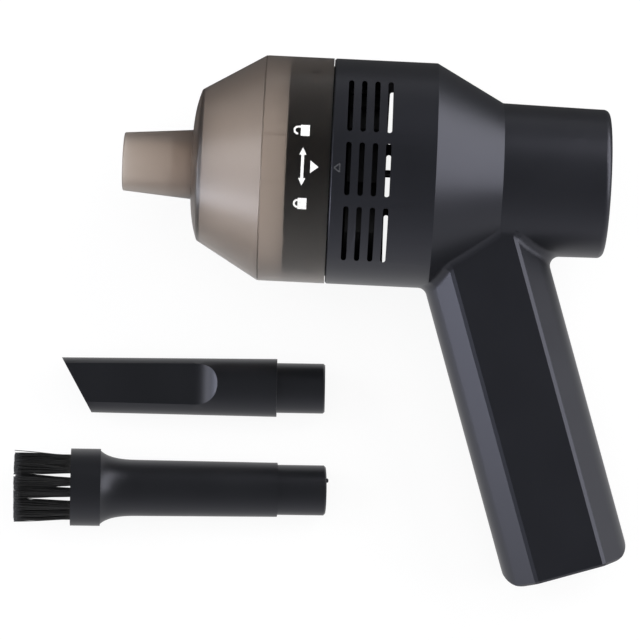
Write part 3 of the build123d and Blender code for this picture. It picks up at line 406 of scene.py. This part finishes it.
# Cell and charge lens
# A steel can in a shrunk PVC sleeve, held between the ribs of the handle, and a clear acrylic light
# pipe pressed into the handle's cap. The sleeve is smooth and blue, the pipe clear with a slight haze.
ACRYLIC_HAZE_MM = 0.6
ACRYLIC_ROUGH = (0.05, 0.2)
sleeve = moulded_plastic("shrunk_pvc_sleeve", "#2C6B86", roughness=0.3, grain_mm=1.2, depth_mm=0.01)
dress(sleeve, "battery_cell")
clear_acrylic, place = new_material("moulded_clear_acrylic")
acrylic_haze = add(
    clear_acrylic, "ShaderNodeTexNoise", Vector=place, Scale=1 / (ACRYLIC_HAZE_MM * MM), Detail=2.0
)
acrylic_gloss = add(
    clear_acrylic,
    "ShaderNodeMapRange",
    Value=acrylic_haze.outputs["Fac"],
    To_Min=ACRYLIC_ROUGH[0],
    To_Max=ACRYLIC_ROUGH[1],
)
acrylic_shader = add(
    clear_acrylic,
    "ShaderNodeBsdfPrincipled",
    Base_Color=linear("#EEF2F4"),
    Roughness=acrylic_gloss.outputs[0],
    IOR=1.49,
    Transmission_Weight=1.0,
)
dress(show(clear_acrylic, acrylic_shader), "charge_lens")

# Collar
# ABS ring that the two halves of the housing grip by its tail, and that carries the cup, the seal and
# the filter. Its mould was coarsely sparked, so it is matt black and throws little light into the cup.
matt_abs = moulded_plastic(
    "coarse_moulded_black_abs", "#0B0B0D", roughness=0.7, grain_mm=0.5, depth_mm=0.01, ior=1.35
)
dress(matt_abs, "bayonet_collar")

# Housing, motor plate, bezel and handle cap
# Two ABS half shells moulded in charcoal, parted on the mid-plane and held by five screws. The mould
# was finely sparked, so the plastic is satin: dark face on, a cool silver where it turns away.
charcoal_abs = moulded_plastic(
    "moulded_charcoal_abs",
    "#121316",
    roughness=0.38,
    grain_mm=0.35,
    depth_mm=0.006,
    ior=1.54,
    glint="#EAEBFF",
)
dress(charcoal_abs, "upper_housing", "lower_housing", "motor_plate", "rear_bezel", "handle_cap")
black_steel = plated_metal(
    "blackened_screw_steel", "#4A4A4E", "#333337", roughness=0.36, cloud_mm=1.5
)
dress(black_steel, "housing_screws")

# Power button
# Satin ABS cap that rides on the switch's plunger, with the usual power sign printed in pale grey:
# a broken ring and a bar. Sizes of prints are in millimetres.
SIGN_RING_R = 3.4
SIGN_STROKE = 0.8
SIGN_GAP = math.radians(38)
SIGN_BAR = 3.4
INK_THICKNESS = 0.03
INK_STEP = 0.4
INK_WELD = 0.001
PINHOLE_MM = 0.25
PINHOLE_SHADE = 0.8


def ribbon(points, widths):
    """Left and right edge of an inked stroke along points, in the flat, in millimetres."""
    left, right = [], []
    for i, point in enumerate(points):
        ahead = Vector(points[min(i + 1, len(points) - 1)]) - Vector(points[max(i - 1, 0)])
        square = Vector((-ahead.y, ahead.x)).normalized() * widths[i] / 2
        left.append(Vector(point) + square)
        right.append(Vector(point) - square)
    return left, right


def stroke(start, end, width, end_width=None):
    """Straight stroke, cut into short steps so that it can follow a curved surface."""
    start, end = Vector(start), Vector(end)
    steps = max(2, math.ceil((end - start).length / INK_STEP))
    last = width if end_width is None else end_width
    points = [start.lerp(end, i / steps) for i in range(steps + 1)]
    return ribbon(points, [width + (last - width) * i / steps for i in range(steps + 1)])


def bow(centre, radius, first, last, width):
    """Stroke along an arc, from one angle to another."""
    steps = max(4, math.ceil(radius * abs(last - first) / INK_STEP))
    points = []
    for i in range(steps + 1):
        angle = first + (last - first) * i / steps
        points.append((centre[0] + radius * math.cos(angle), centre[1] + radius * math.sin(angle)))
    return ribbon(points, [width] * (steps + 1))


def set_down(name, data):
    """New object of the set, for a mesh, a lamp or the camera."""
    thing = bpy.data.objects.new(name, data)
    bpy.context.scene.collection.objects.link(thing)
    return thing


def print_ink(name, strokes, surface, material, body):
    """Lay strokes on a surface as a thin film of ink that rides on a body."""
    mesh = bmesh.new()
    for left, right in strokes:
        rows = [[mesh.verts.new(surface(p)) for p in edge] for edge in (left, right)]
        for i in range(len(left) - 1):
            mesh.faces.new((rows[0][i], rows[1][i], rows[1][i + 1], rows[0][i + 1]))
    bmesh.ops.remove_doubles(mesh, verts=mesh.verts, dist=INK_WELD * MM)
    data = bpy.data.meshes.new(name)
    mesh.to_mesh(data)
    mesh.free()
    film = set_down(name, data)
    film.data.materials.append(material)
    thick = film.modifiers.new("film", "SOLIDIFY")
    thick.thickness = INK_THICKNESS * MM
    thick.offset = 0
    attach(film, body)


def pad_ink(name, colour):
    """Pad-printed ink: flat and dull, with tiny pinholes where the pad lifted."""
    material, place = new_material(name)
    pinholes = add(
        material, "ShaderNodeTexNoise", Vector=place, Scale=1 / (PINHOLE_MM * MM), Detail=4.0
    )
    worn = [PINHOLE_SHADE * c for c in linear(colour)[:3]] + [1.0]
    tint = add(
        material,
        "ShaderNodeMixRGB",
        Fac=pinholes.outputs["Fac"],
        Color1=worn,
        Color2=linear(colour),
    )
    shader = add(material, "ShaderNodeBsdfPrincipled", Base_Color=tint.outputs[0], Roughness=0.6)
    return show(material, shader)


satin_abs = moulded_plastic(
    "satin_moulded_abs", "#26272A", roughness=0.36, grain_mm=0.3, depth_mm=0.004, ior=1.53
)
dress(satin_abs, "power_button")
grey_ink = pad_ink("pale_grey_pad_ink", "#A9ABAE")
button_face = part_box("power_button")[1].x


def on_button(point):
    """Point of the button's flat rear face, as seen from behind with the handle down."""
    return Vector((button_face + INK_THICKNESS * MM, -point.x * MM, point.y * MM))


sign_top = math.pi / 2
sign = [
    bow((0, 0), SIGN_RING_R, sign_top + SIGN_GAP, sign_top + 2 * math.pi - SIGN_GAP, SIGN_STROKE),
    stroke((0, SIGN_RING_R - SIGN_BAR / 2), (0, SIGN_RING_R + SIGN_BAR / 2), SIGN_STROKE),
]
print_ink("power_sign", sign, on_button, grey_ink, "button")

# Dust cup
# Smoked polycarbonate, moulded in one piece with the nozzle and frosted, but polished where it turns on
# the collar. The wall swallows light, so thick places are darker, and the frosting blurs what stands
# behind it, while the black collar shows sharp. Real frosting is finer than the grain drawn here.
FROST_MM = 0.5
FROST_DINT_MM = 0.004
OUTER_ROUGH = 0.32
INNER_ROUGH = 0.42
BEARING_ROUGH = 0.12
BEARING_EDGE_MM = 0.5
SKIN_EDGE_MM = 2.0
SMOKE_PER_METRE = 282.0
collar_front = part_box("bayonet_collar")[0].x
smoked_pc, place = new_material("frosted_smoked_polycarbonate")
frost = add(smoked_pc, "ShaderNodeTexNoise", Vector=place, Scale=1 / (FROST_MM * MM), Detail=4.0)
frost_relief = add(
    smoked_pc,
    "ShaderNodeBump",
    Height=frost.outputs["Fac"],
    Strength=0.2,
    Distance=FROST_DINT_MM * MM,
)
spoke = add(
    smoked_pc, "ShaderNodeVectorMath", [("operation", "MULTIPLY")], _0=place, _1=(0.0, 1.0, 1.0)
)
skin = add(smoked_pc, "ShaderNodeNewGeometry").outputs["True Normal"]
facing = add(
    smoked_pc,
    "ShaderNodeVectorMath",
    [("operation", "DOT_PRODUCT")],
    _0=spoke.outputs[0],
    _1=skin,
)
station = add(smoked_pc, "ShaderNodeSeparateXYZ", Vector=place).outputs["X"]
bore_gloss = add(
    smoked_pc,
    "ShaderNodeMapRange",
    Value=station,
    From_Min=collar_front - BEARING_EDGE_MM * MM,
    From_Max=collar_front,
    To_Min=INNER_ROUGH,
    To_Max=BEARING_ROUGH,
)
cup_gloss = add(
    smoked_pc,
    "ShaderNodeMapRange",
    Value=facing.outputs["Value"],
    From_Min=-SKIN_EDGE_MM * MM,
    From_Max=SKIN_EDGE_MM * MM,
    To_Min=bore_gloss.outputs[0],
    To_Max=OUTER_ROUGH,
)
cup_shader = add(
    smoked_pc,
    "ShaderNodeBsdfPrincipled",
    Base_Color=linear("#E9E2DC"),
    Roughness=cup_gloss.outputs[0],
    IOR=1.55,
    Transmission_Weight=1.0,
    Normal=frost_relief.outputs[0],
)
smoke = add(
    smoked_pc, "ShaderNodeVolumeAbsorption", Color=linear("#B7A79C"), Density=SMOKE_PER_METRE
)
dress(show(smoked_pc, cup_shader, smoke), "dust_cup")

# Print on the cup
# White marks, pad printed over the collar: a double arrow for the twist, an open and a closed lock at
# its ends, and a pointer to the mark on the housing. Stations along the barrel and arcs round it are in
# millimetres. The vacuum lies on its handle's end, so its upper side is rolled towards the handle.
BARREL_R = 30.0
LYING_ROLL = math.radians(8.8)
ARROW_STATION = 47.8
ARROW_TOP = 4.4
ARROW_BOTTOM = -5.4
ARROW_HEAD = 1.9
ARROW_STROKE = 0.75
POINTER_STATION = 49.85
POINTER_ARC = -0.5
POINTER_WIDTH = 3.3
POINTER_LENGTH = 2.1
LOCK_STATION = 48.15
LOCK_OPEN_ARC = 9.0
LOCK_SHUT_ARC = -10.2
LOCK_BODY = 2.3
LOCK_WIDTH = 3.0
LOCK_LOOP_R = 0.95
LOCK_STROKE = 0.5
LOCK_LIFT = 0.7
TIP_WIDTH = 0.05
white_ink = pad_ink("white_pad_ink", "#F1F0EE")


def on_barrel(point, proud):
    """Point of the round barrel: x is the station, y the arc from the side that lies up."""
    turn = point.y / BARREL_R - LYING_ROLL
    radius = BARREL_R + proud
    return Vector((point.x, radius * math.sin(turn), radius * math.cos(turn))) * MM


def on_cup(point):
    """Point on the skin of the cup."""
    return on_barrel(point, INK_THICKNESS)


def lock_sign(arc, lift):
    """Small lock that stands on its side: solid body, and a loop that is shut or lifted open."""
    body_top = LOCK_STATION - LOCK_BODY / 2
    loop_foot = body_top - lift
    near, far = arc - LOCK_WIDTH / 2, arc + LOCK_WIDTH / 2
    return [
        stroke((LOCK_STATION, near), (LOCK_STATION, far), LOCK_BODY),
        bow((loop_foot, arc), LOCK_LOOP_R, math.pi / 2, 3 * math.pi / 2, LOCK_STROKE),
        stroke((loop_foot, arc + LOCK_LOOP_R), (body_top, arc + LOCK_LOOP_R), LOCK_STROKE),
    ]


upper_neck = (ARROW_STATION, ARROW_TOP - ARROW_HEAD)
lower_neck = (ARROW_STATION, ARROW_BOTTOM + ARROW_HEAD)
arrow = [
    stroke(lower_neck, upper_neck, ARROW_STROKE),
    stroke(upper_neck, (ARROW_STATION, ARROW_TOP), ARROW_HEAD, TIP_WIDTH),
    stroke(lower_neck, (ARROW_STATION, ARROW_BOTTOM), ARROW_HEAD, TIP_WIDTH),
]
pointer_foot = (POINTER_STATION, POINTER_ARC)
pointer_tip = (POINTER_STATION + POINTER_LENGTH, POINTER_ARC)
pointer = [stroke(pointer_foot, pointer_tip, POINTER_WIDTH, TIP_WIDTH)]
open_lock = lock_sign(LOCK_OPEN_ARC, LOCK_LIFT)
shut_lock = lock_sign(LOCK_SHUT_ARC, 0.0)
print_ink("twist_arrow", arrow, on_cup, white_ink, "cup")
print_ink("lock_pointer", pointer, on_cup, white_ink, "cup")
print_ink("open_lock", open_lock, on_cup, white_ink, "cup")
print_ink("shut_lock", shut_lock, on_cup, white_ink, "cup")

# Mark on the housing
# Triangle moulded into the ABS as a groove, which the cup's pointer meets when the cup is locked. The
# groove is wiped with grey paint, so it shows as a thin line a little paler than the plastic.
MARK_STATION = 55.65
MARK_ARC = -0.4
MARK_LENGTH = 2.0
MARK_HALF = 1.5
MARK_STROKE = 0.4
MARK_SUNK = 0.2
MITRE_TIP = 1.7
MITRE_SIDE = 1.9
GROOVE_SHARE = 0.9
grey_paint = pad_ink("wiped_grey_paint", "#4A4B50")


def in_groove(point):
    """Point on the floor of the groove."""
    return on_barrel(point, -MARK_SUNK)


inset = MARK_STROKE / 2
mark_foot = MARK_STATION + MARK_LENGTH - inset
mark_edge = MARK_HALF - inset * MITRE_SIDE
mark_corners = [
    (MARK_STATION + inset * MITRE_TIP, MARK_ARC),
    (mark_foot, MARK_ARC + mark_edge),
    (mark_foot, MARK_ARC - mark_edge),
]
mark = [
    stroke(mark_corners[i], mark_corners[(i + 1) % 3], MARK_STROKE * GROOVE_SHARE) for i in range(3)
]
print_ink("lock_mark", mark, in_groove, grey_paint, "housing")

# Loose tools
# Crevice tool and brush tube, moulded in black polypropylene, each with a spigot that pushes into the
# nozzle. The plastic is a little duller than the housing's. Where it ran into the brush's mould, a
# small stub is left on the end of the spigot.
# How far the stub stands out of the spigot's end, and its radius there, in millimetres.
STUB_PROFILE = ((-0.15, 0.62), (0.3, 0.58), (0.5, 0.36), (0.56, 0.0))
STUB_SIDES = 14
STUB_SIDEWAYS = -2.1
STUB_UP = 5.4
black_pp = moulded_plastic(
    "moulded_black_polypropylene",
    "#111214",
    roughness=0.38,
    grain_mm=0.35,
    depth_mm=0.006,
    ior=1.51,
    glint="#EFF0FF",
)
dress(black_pp, "crevice_tool", "brush_tube")

spigot = next(m for m in frame["record"]["mounts"] if m["name"] == "brush_spigot")
brush_dir = -Vector(spigot["axis"]).normalized()
brush_side = Vector((0, 0, 1)).cross(brush_dir).normalized()
brush_up = brush_dir.cross(brush_side)
brush_place = Matrix((brush_dir, brush_side, brush_up)).transposed()
brush_foot = Vector(spigot["pos_m"])


def on_brush(along, sideways, up):
    """Point of the brush, in millimetres from the middle of its spigot's end."""
    return brush_foot + brush_place @ (Vector((along, sideways, up)) * MM)


def brush_ring(mesh, along, sideways, up, radius, sides):
    """Ring of points square to the brush."""
    turns = [2 * math.pi * corner / sides for corner in range(sides)]
    return [
        mesh.verts.new(
            on_brush(along, sideways + radius * math.cos(turn), up + radius * math.sin(turn))
        )
        for turn in turns
    ]


def join_rings(mesh, rings):
    """Skin between each ring and the next."""
    for low, high in zip(rings, rings[1:]):
        for corner in range(len(low)):
            after = (corner + 1) % len(low)
            mesh.faces.new((low[corner], low[after], high[after], high[corner]))


stub = bmesh.new()
stub_rings = [
    brush_ring(stub, -proud, STUB_SIDEWAYS, STUB_UP, radius, STUB_SIDES)
    for proud, radius in STUB_PROFILE[:-1]
]
stub_tip = stub.verts.new(on_brush(-STUB_PROFILE[-1][0], STUB_SIDEWAYS, STUB_UP))
join_rings(stub, stub_rings)
for corner in range(STUB_SIDES):
    stub.faces.new((stub_rings[-1][corner], stub_rings[-1][(corner + 1) % STUB_SIDES], stub_tip))
stub.faces.new(stub_rings[0])
bmesh.ops.recalc_face_normals(stub, faces=stub.faces)
stub_mesh = bpy.data.meshes.new("gate_stub")
stub.to_mesh(stub_mesh)
stub.free()
stub_mesh.polygons.foreach_set("use_smooth", [True] * len(stub_mesh.polygons))
gate_stub = set_down("gate_stub", stub_mesh)
gate_stub.data.materials.append(black_pp)
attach(gate_stub, "brush")

# Every piece is lit as if it lay alone, so the tools don't show in the gloss of what lies beside them.
for tool in (nodes["crevice_tool"], nodes["brush_tube"], gate_stub):
    tool.visible_glossy = False

# Bristles
# Tufts of black nylon punched into the end of the brush tube. Each strand is a thin drawn rod that
# bends a little its own way, so light shows between the tufts at their feet, and their tips close up.
# A strand is drawn a little thicker than real, so that it shows. Sizes are in millimetres.
TUFTS = 16
STRANDS = 62
GOLDEN_TURN = math.pi * (3 - math.sqrt(5))
STRAND_R = 0.13
STRAND_TIP = 0.75
STRAND_SIDES = 5
STRAND_STEPS = 7
MOUTH = 68.5
ROOT_DEPTH = 0.6
BRISTLE_LENGTH = 15.1
TUFT_RING_R = 8.05
TUFT_R = 0.68
RING_TURN = math.radians(-8.8)
PAIRING = math.radians(1.8)
UNEVEN = math.radians(1.2)
TIP_RING_R = 7.75
TIP_R = 1.6
WAVE = 0.55
LENGTH_SPREAD = 0.35
STRAY_SHARE = 0.012
STRAY_LEAN = 2.4

random.seed(7)
tufts = bmesh.new()
for tuft in range(TUFTS):
    tuft_angle = 2 * math.pi * (tuft + 0.5) / TUFTS + RING_TURN
    tuft_angle += PAIRING * (-1) ** (tuft + 1) + random.uniform(-UNEVEN, UNEVEN)
    outward = Vector((0, math.cos(tuft_angle), math.sin(tuft_angle)))
    sway = Vector((0, random.uniform(-1, 1), random.uniform(-1, 1))) * WAVE
    for number in range(STRANDS):
        share = math.sqrt((number + 0.5) / STRANDS)
        spin = number * GOLDEN_TURN
        spread = Vector((0, math.cos(spin), math.sin(spin))) * share
        foot = outward * TUFT_RING_R + spread * TUFT_R
        tip = outward * TIP_RING_R + spread * TIP_R + sway
        own = Vector((0, random.uniform(-1, 1), random.uniform(-1, 1))) * WAVE
        if random.random() < STRAY_SHARE:
            tip += outward * STRAY_LEAN * random.random()
        length = BRISTLE_LENGTH - LENGTH_SPREAD * random.random() ** 2
        rings = []
        for step in range(STRAND_STEPS + 1):
            t = step / STRAND_STEPS
            centre = foot.lerp(tip, t) + own * math.sin(math.pi * t) * t
            along = MOUTH - ROOT_DEPTH + t * (length + ROOT_DEPTH)
            radius = STRAND_R * (1 + (STRAND_TIP - 1) * t)
            rings.append(brush_ring(tufts, along, centre.y, centre.z, radius, STRAND_SIDES))
        join_rings(tufts, rings)
        tufts.faces.new(rings[-1])
        tufts.faces.new(rings[0][::-1])
bmesh.ops.recalc_face_normals(tufts, faces=tufts.faces)
bristle_mesh = bpy.data.meshes.new("bristle_tufts")
tufts.to_mesh(bristle_mesh)
tufts.free()
for face in bristle_mesh.polygons:
    face.use_smooth = len(face.vertices) == 4
bristles = set_down("bristle_tufts", bristle_mesh)
nylon = moulded_plastic(
    "drawn_black_nylon", "#0A0A0B", roughness=0.65, grain_mm=0.3, depth_mm=0.004, ior=1.53
)
bristles.data.materials.append(nylon)
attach(bristles, "brush")
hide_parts("brush_bristles")

# Table and surroundings
# White card that runs out to a white horizon. The eye sees it white, with the set's soft shadow on it.
# In gloss its level is painted by place on the card: a painted pool of light on the handle's side of
# the barrel, painted shade close behind it, and light further off; through the cup it is white, with
# painted shade behind the barrel too. Lengths are in metres.
TABLE_HALF = 4.0
TABLE_WHITE = 0.9
# Bounds and levels of the painted light and painted shade that gloss and the cup see on the card.
SHADE_FRONT = (-0.03, 0.02)
SHADE_BACK = (0.2, 0.6)
GLARE_LIGHT = 0.82
GLARE_SHADE = 0.12
THROUGH_FRONT = (0.02, 0.04)
THROUGH_SHADE = 0.36
table_z = cad_low.z
table_mesh = bpy.data.meshes.new("table")
table_mesh.from_pydata(
    [(x, y, table_z) for x, y in ((-1, -1), (1, -1), (1, 1), (-1, 1))], [], [(0, 1, 2, 3)]
)
table_mesh.transform(Matrix.Diagonal((TABLE_HALF, TABLE_HALF, 1, 1)))
table = set_down("table", table_mesh)
white_card, place = new_material("matt_white_card")
path = add(white_card, "ShaderNodeLightPath").outputs
spot = add(white_card, "ShaderNodeSeparateXYZ", Vector=place)
# Painted light and shade for gloss: the level falls from a painted pool of light on the handle's side
# to painted shade behind the barrel, set by place on the card alone.
before_shade = add(
    white_card,
    "ShaderNodeMapRange",
    Value=spot.outputs["Y"],
    From_Min=SHADE_FRONT[0],
    From_Max=SHADE_FRONT[1],
    To_Min=GLARE_LIGHT,
    To_Max=GLARE_SHADE,
)
behind_shade = add(
    white_card,
    "ShaderNodeMapRange",
    Value=spot.outputs["Y"],
    From_Min=SHADE_BACK[0],
    From_Max=SHADE_BACK[1],
    To_Min=GLARE_SHADE,
    To_Max=GLARE_LIGHT,
)
painted_glare = add(
    white_card,
    "ShaderNodeMath",
    [("operation", "MAXIMUM")],
    _0=before_shade.outputs[0],
    _1=behind_shade.outputs[0],
)
mirrored = add(
    white_card,
    "ShaderNodeMath",
    [("operation", "SUBTRACT"), ("use_clamp", True)],
    _0=path["Is Glossy Ray"],
    _1=path["Is Transmission Ray"],
)
# Painted shade for what is seen through the cup: the card's level falls from white to THROUGH_SHADE
# behind the barrel, set by place on the card alone.
through = add(
    white_card,
    "ShaderNodeMapRange",
    Value=spot.outputs["Y"],
    From_Min=THROUGH_FRONT[0],
    From_Max=THROUGH_FRONT[1],
    To_Min=1.0,
    To_Max=THROUGH_SHADE,
)
open_level = add(
    white_card, "ShaderNodeMix", _0=path["Is Transmission Ray"], _2=1.0, _3=through.outputs[0]
)
level = add(
    white_card,
    "ShaderNodeMix",
    _0=mirrored.outputs[0],
    _2=open_level.outputs[0],
    _3=painted_glare.outputs[0],
)
seen = add(
    white_card,
    "ShaderNodeMath",
    [("operation", "MAXIMUM")],
    _0=path["Is Camera Ray"],
    _1=path["Is Transmission Ray"],
)
seen_white = add(
    white_card, "ShaderNodeMath", [("operation", "MULTIPLY")], _0=seen.outputs[0], _1=TABLE_WHITE
)
white_share = add(
    white_card,
    "ShaderNodeMath",
    [("operation", "MAXIMUM")],
    _0=seen_white.outputs[0],
    _1=mirrored.outputs[0],
)
card_lit = add(white_card, "ShaderNodeBsdfDiffuse", Color=linear("#F4F4F4"))
card_white = add(
    white_card, "ShaderNodeEmission", Color=linear("#FFFFFF"), Strength=level.outputs[0]
)
card = add(
    white_card,
    "ShaderNodeMixShader",
    Fac=white_share.outputs[0],
    _1=card_lit.outputs[0],
    _2=card_white.outputs[0],
)
table.data.materials.append(show(white_card, card))

# Room
# Painted walls and ceiling, white to the eye. What the set reflects of them is a dim ceiling over pale
# walls, the wall on the handle's side the lighter one.
WALL_LEVEL = 0.62
CEILING_DROP = -0.58
SIDE_DROP = -0.19
room = bpy.data.worlds.new("room")
bpy.context.scene.world = room
room.use_nodes = True
room.node_tree.nodes.clear()
outlook = add(room, "ShaderNodeTexCoord").outputs["Generated"]
heading = add(room, "ShaderNodeSeparateXYZ", Vector=outlook).outputs
by_height = add(
    room,
    "ShaderNodeMath",
    [("operation", "MULTIPLY_ADD")],
    _0=heading["Z"],
    _1=CEILING_DROP,
    _2=WALL_LEVEL,
)
by_side = add(
    room,
    "ShaderNodeMath",
    [("operation", "MULTIPLY_ADD")],
    _0=heading["Y"],
    _1=SIDE_DROP,
    _2=by_height.outputs[0],
)
room_path = add(room, "ShaderNodeLightPath").outputs
room_level = add(
    room, "ShaderNodeMix", _0=room_path["Is Camera Ray"], _2=by_side.outputs[0], _3=1.0
)
room_light = add(
    room, "ShaderNodeBackground", Color=linear("#FFFFFF"), Strength=room_level.outputs[0]
)
add(room, "ShaderNodeOutputWorld", Surface=room_light.outputs[0])

# Studio lights
# Three soft boxes beyond the nozzle, low, broad and high, give the faces that slope towards it their
# sheen, and a large one at the rear does so for the tail. A wide cloth overhead evens the light out but
# is kept out of the gloss. Places and sizes are in metres.
centre = (cad_low + cad_high) / 2


def softbox(name, place, width, height, watts, tint="#FFFFFF"):
    """Soft box at a place, turned to the middle of the set."""
    light = bpy.data.lights.new(name, "AREA")
    light.shape = "RECTANGLE"
    light.size, light.size_y = width, height
    light.energy = watts
    light.color = linear(tint)[:3]
    lamp = set_down(name, light)
    lamp.location = place
    lamp.rotation_euler = (Vector(place) - centre).to_track_quat("Z", "Y").to_euler()
    return lamp


softbox("nozzle_side", (-0.32, -0.12, 0.04), width=0.26, height=0.13, watts=0.95, tint="#F0F3FF")
softbox("nozzle_front", (-0.6, -0.08, 0.32), width=0.7, height=0.45, watts=0.8, tint="#E6EDFF")
softbox("nozzle_high", (-0.57, 0.07, 0.58), width=0.3, height=0.3, watts=1.5)
softbox("rear_side", (0.66, 0.25, 0.36), width=1.1, height=0.68, watts=8.4)
cloth = softbox("overhead_cloth", (centre.x, centre.y, 1.2), width=1.2, height=1.2, watts=9.0)
cloth.visible_glossy = False
cloth.visible_transmission = False

# Camera
# It looks square on to the vacuum's mid-plane, which lies a little rolled on the table, and the picture
# is turned a little about the view. Lengths are in metres.
VIEW_DISTANCE = 0.870
VIEW_TURN = math.radians(2.73)
FIELD_WIDTH = 0.1707
AIM_STATION = 0.05425
AIM_DROP = 0.0398
SENSOR_MM = 36.0
across = Vector((0, math.cos(LYING_ROLL), math.sin(LYING_ROLL)))
towards = Vector((0, -math.sin(LYING_ROLL), math.cos(LYING_ROLL)))
aim = Vector((AIM_STATION, 0, 0)) - across * AIM_DROP
right = Vector((1, 0, 0)) * math.cos(VIEW_TURN) + across * math.sin(VIEW_TURN)
camera_data = bpy.data.cameras.new("camera")
camera_data.sensor_width = SENSOR_MM
camera_data.lens = SENSOR_MM * VIEW_DISTANCE / FIELD_WIDTH
camera_data.clip_start = 0.01
camera_data.clip_end = 100.0
camera = set_down("camera", camera_data)
stand = Matrix.Translation(aim + towards * VIEW_DISTANCE)
camera.matrix_world = stand @ Matrix((right, towards.cross(right), towards)).transposed().to_4x4()
bpy.context.scene.camera = camera
bpy.context.scene.view_settings.view_transform = "Standard"
